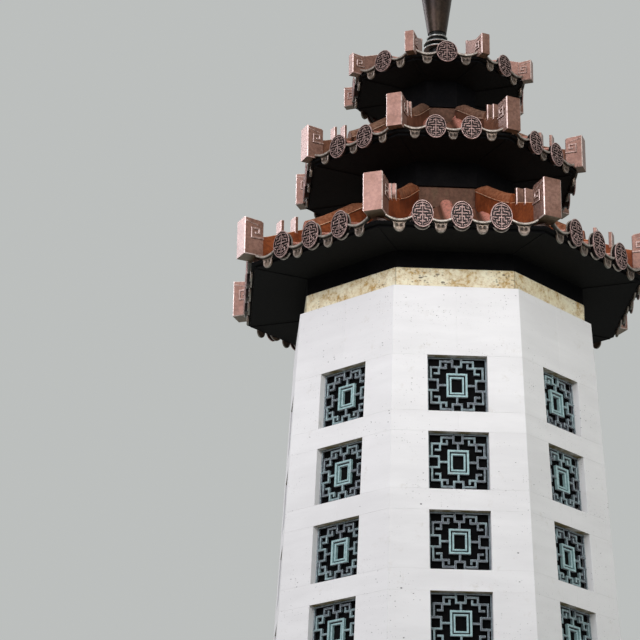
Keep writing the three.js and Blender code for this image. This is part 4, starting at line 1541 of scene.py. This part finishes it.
@dataclass
class Stage:
    """Floor, lights and camera around the pagoda, in metres."""

    softboxes: Sequence[Softbox] = (
        Softbox("key_softbox", (-2.6, -3.25, 4.1), (0.0, 0.0, 2.7), (1.9, 1.4), 64.0, (1.0, 0.96, 1.06)),
        Softbox("front_softbox", (0.15, -3.0, 3.2), (0.0, -0.33, 2.78), (1.0, 0.7), 3.6, (1.0, 0.99, 0.97),
                cone=55.0),
        Softbox("left_softbox", (-3.4, 2.6, 4.5), (0.0, 0.0, 2.75), (1.6, 1.6), 50.0, (1.0, 0.97, 1.05)),
        Softbox("right_softbox", (3.1, -1.9, 3.25), (0.2, -0.2, 2.8), (1.0, 1.0), 7.0, (1.0, 0.99, 0.95)),
        Softbox("top_softbox", (-0.5, -0.4, 7.0), (0.0, 0.0, 2.5), (4.0, 4.0), 50.0, (1.0, 1.0, 1.0)),
    )
    camera_at: Place = (-0.5242, -4.6542, 0.7607)
    camera_right: Place = (0.99815, -0.05952, 0.01209)
    camera_up: Place = (-0.03308, -0.36582, 0.93010)
    lens: float = 125.73
    sensor: float = 36.0
    floor_half: float = 14.0
    floor_colour: Colour = (0.60, 0.60, 0.59)
    floor_roughness: float = 0.85
    backdrop: Colour = (0.60, 0.62, 0.61)
    backdrop_strength: float = 0.84

    def build(self) -> None:
        """Sets the floor, the lights, the backdrop's light and the camera."""
        self._floor()
        self._world()
        for softbox in self.softboxes:
            softbox.build()
        self._camera()

    def _floor(self) -> None:
        """Adds the plain pale floor."""
        corners = np.array([[-1, -1, 0], [1, -1, 0], [1, 1, 0], [-1, 1, 0]], float) * self.floor_half
        mesh = bpy.data.meshes.new("studio_floor")
        mesh.from_pydata(corners.tolist(), [], [[0, 1, 2, 3]])
        floor = bpy.data.objects.new("studio_floor", mesh)
        bpy.context.scene.collection.objects.link(floor)
        material = bpy.data.materials.new("studio_floor")
        material.use_nodes = True
        shader = material.node_tree.nodes["Principled BSDF"]
        shader.inputs["Base Color"].default_value = rgba(self.floor_colour)
        shader.inputs["Roughness"].default_value = self.floor_roughness
        mesh.materials.append(material)

    def _world(self) -> None:
        """Gives the surroundings a plain pale light."""
        world = bpy.data.worlds.new("studio")
        world.use_nodes = True
        background = world.node_tree.nodes["Background"]
        background.inputs["Color"].default_value = rgba(self.backdrop)
        background.inputs["Strength"].default_value = self.backdrop_strength
        bpy.context.scene.world = world

    def _camera(self) -> None:
        """Places the camera as the photograph's was."""
        right, up = Vector(self.camera_right).normalized(), Vector(self.camera_up).normalized()
        matrix = Matrix((right, up, right.cross(up))).transposed().to_4x4()
        matrix.translation = Vector(self.camera_at)
        data = bpy.data.cameras.new("photo_camera")
        data.lens, data.sensor_width = self.lens, self.sensor
        data.clip_end = 100.0
        camera = bpy.data.objects.new("photo_camera", data)
        camera.matrix_world = matrix
        bpy.context.scene.collection.objects.link(camera)
        bpy.context.scene.camera = camera


def dress_nodes(nodes: dict[str, bpy.types.Object], names: Sequence[str], material: Material) -> None:
    """Gives frame nodes that stay visible their finish."""
    for name in names:
        nodes[name].data.materials.clear()
        nodes[name].data.materials.append(material)


def main() -> None:
    """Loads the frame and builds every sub-assembly around it."""
    logging.basicConfig(level=logging.INFO, format="%(message)s")
    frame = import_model()
    nodes = frame["nodes"]
    datum = Datum.from_frame(nodes)
    stone, bronze = stone_group(), bronze_group()
    marble, band = MARBLE.material(stone), BAND_STONE.material(stone)
    shade_black, verdigris, ridge, shaded_ridge, block, neck, disc, drip, deck, collar, stem = (
        finish.material(bronze) for finish in (
            SHADE_BLACK_BRONZE, VERDIGRIS, RIDGE_BRONZE, SHADED_RIDGE_BRONZE, BLOCK_BRONZE, NECK_BRONZE, DISC_BRONZE,
            DRIP_BRONZE, DECK_BRONZE, COLLAR_BRONZE, FINIAL_BRONZE))
    view = bpy.context.scene.view_settings
    view.view_transform = "Standard"
    Stage().build()
    Plinth().build(marble)
    shaft = Shaft(datum)
    shaft.build(marble)
    Grilles(shaft).build(verdigris, shade_black)
    StoneBand(datum).build(band)
    # Friezes, soffits, core and soffit seams take the very dark finish, a painted shade.
    dark_nodes = [f"{part}_{tier.name}" for tier in TIERS for part in ("frieze", "soffit")]
    dress_nodes(nodes, ["masonry_core", *dark_nodes], shade_black)
    # The middle tier's ridges take the darker copy of the ridge finish, a painted shade.
    for tier, hips in zip(TIERS, (ridge, shaded_ridge, block)):
        roof = Roof(tier, datum.wall_top)
        roof.deck(deck)
        roof.eave(shade_black, disc, drip)
        roof.ridges(hips, block, neck)
        roof.seams(shade_black)
    Finial(datum.wall_top).build(collar, stem)


if __name__ == "__main__":
    main()
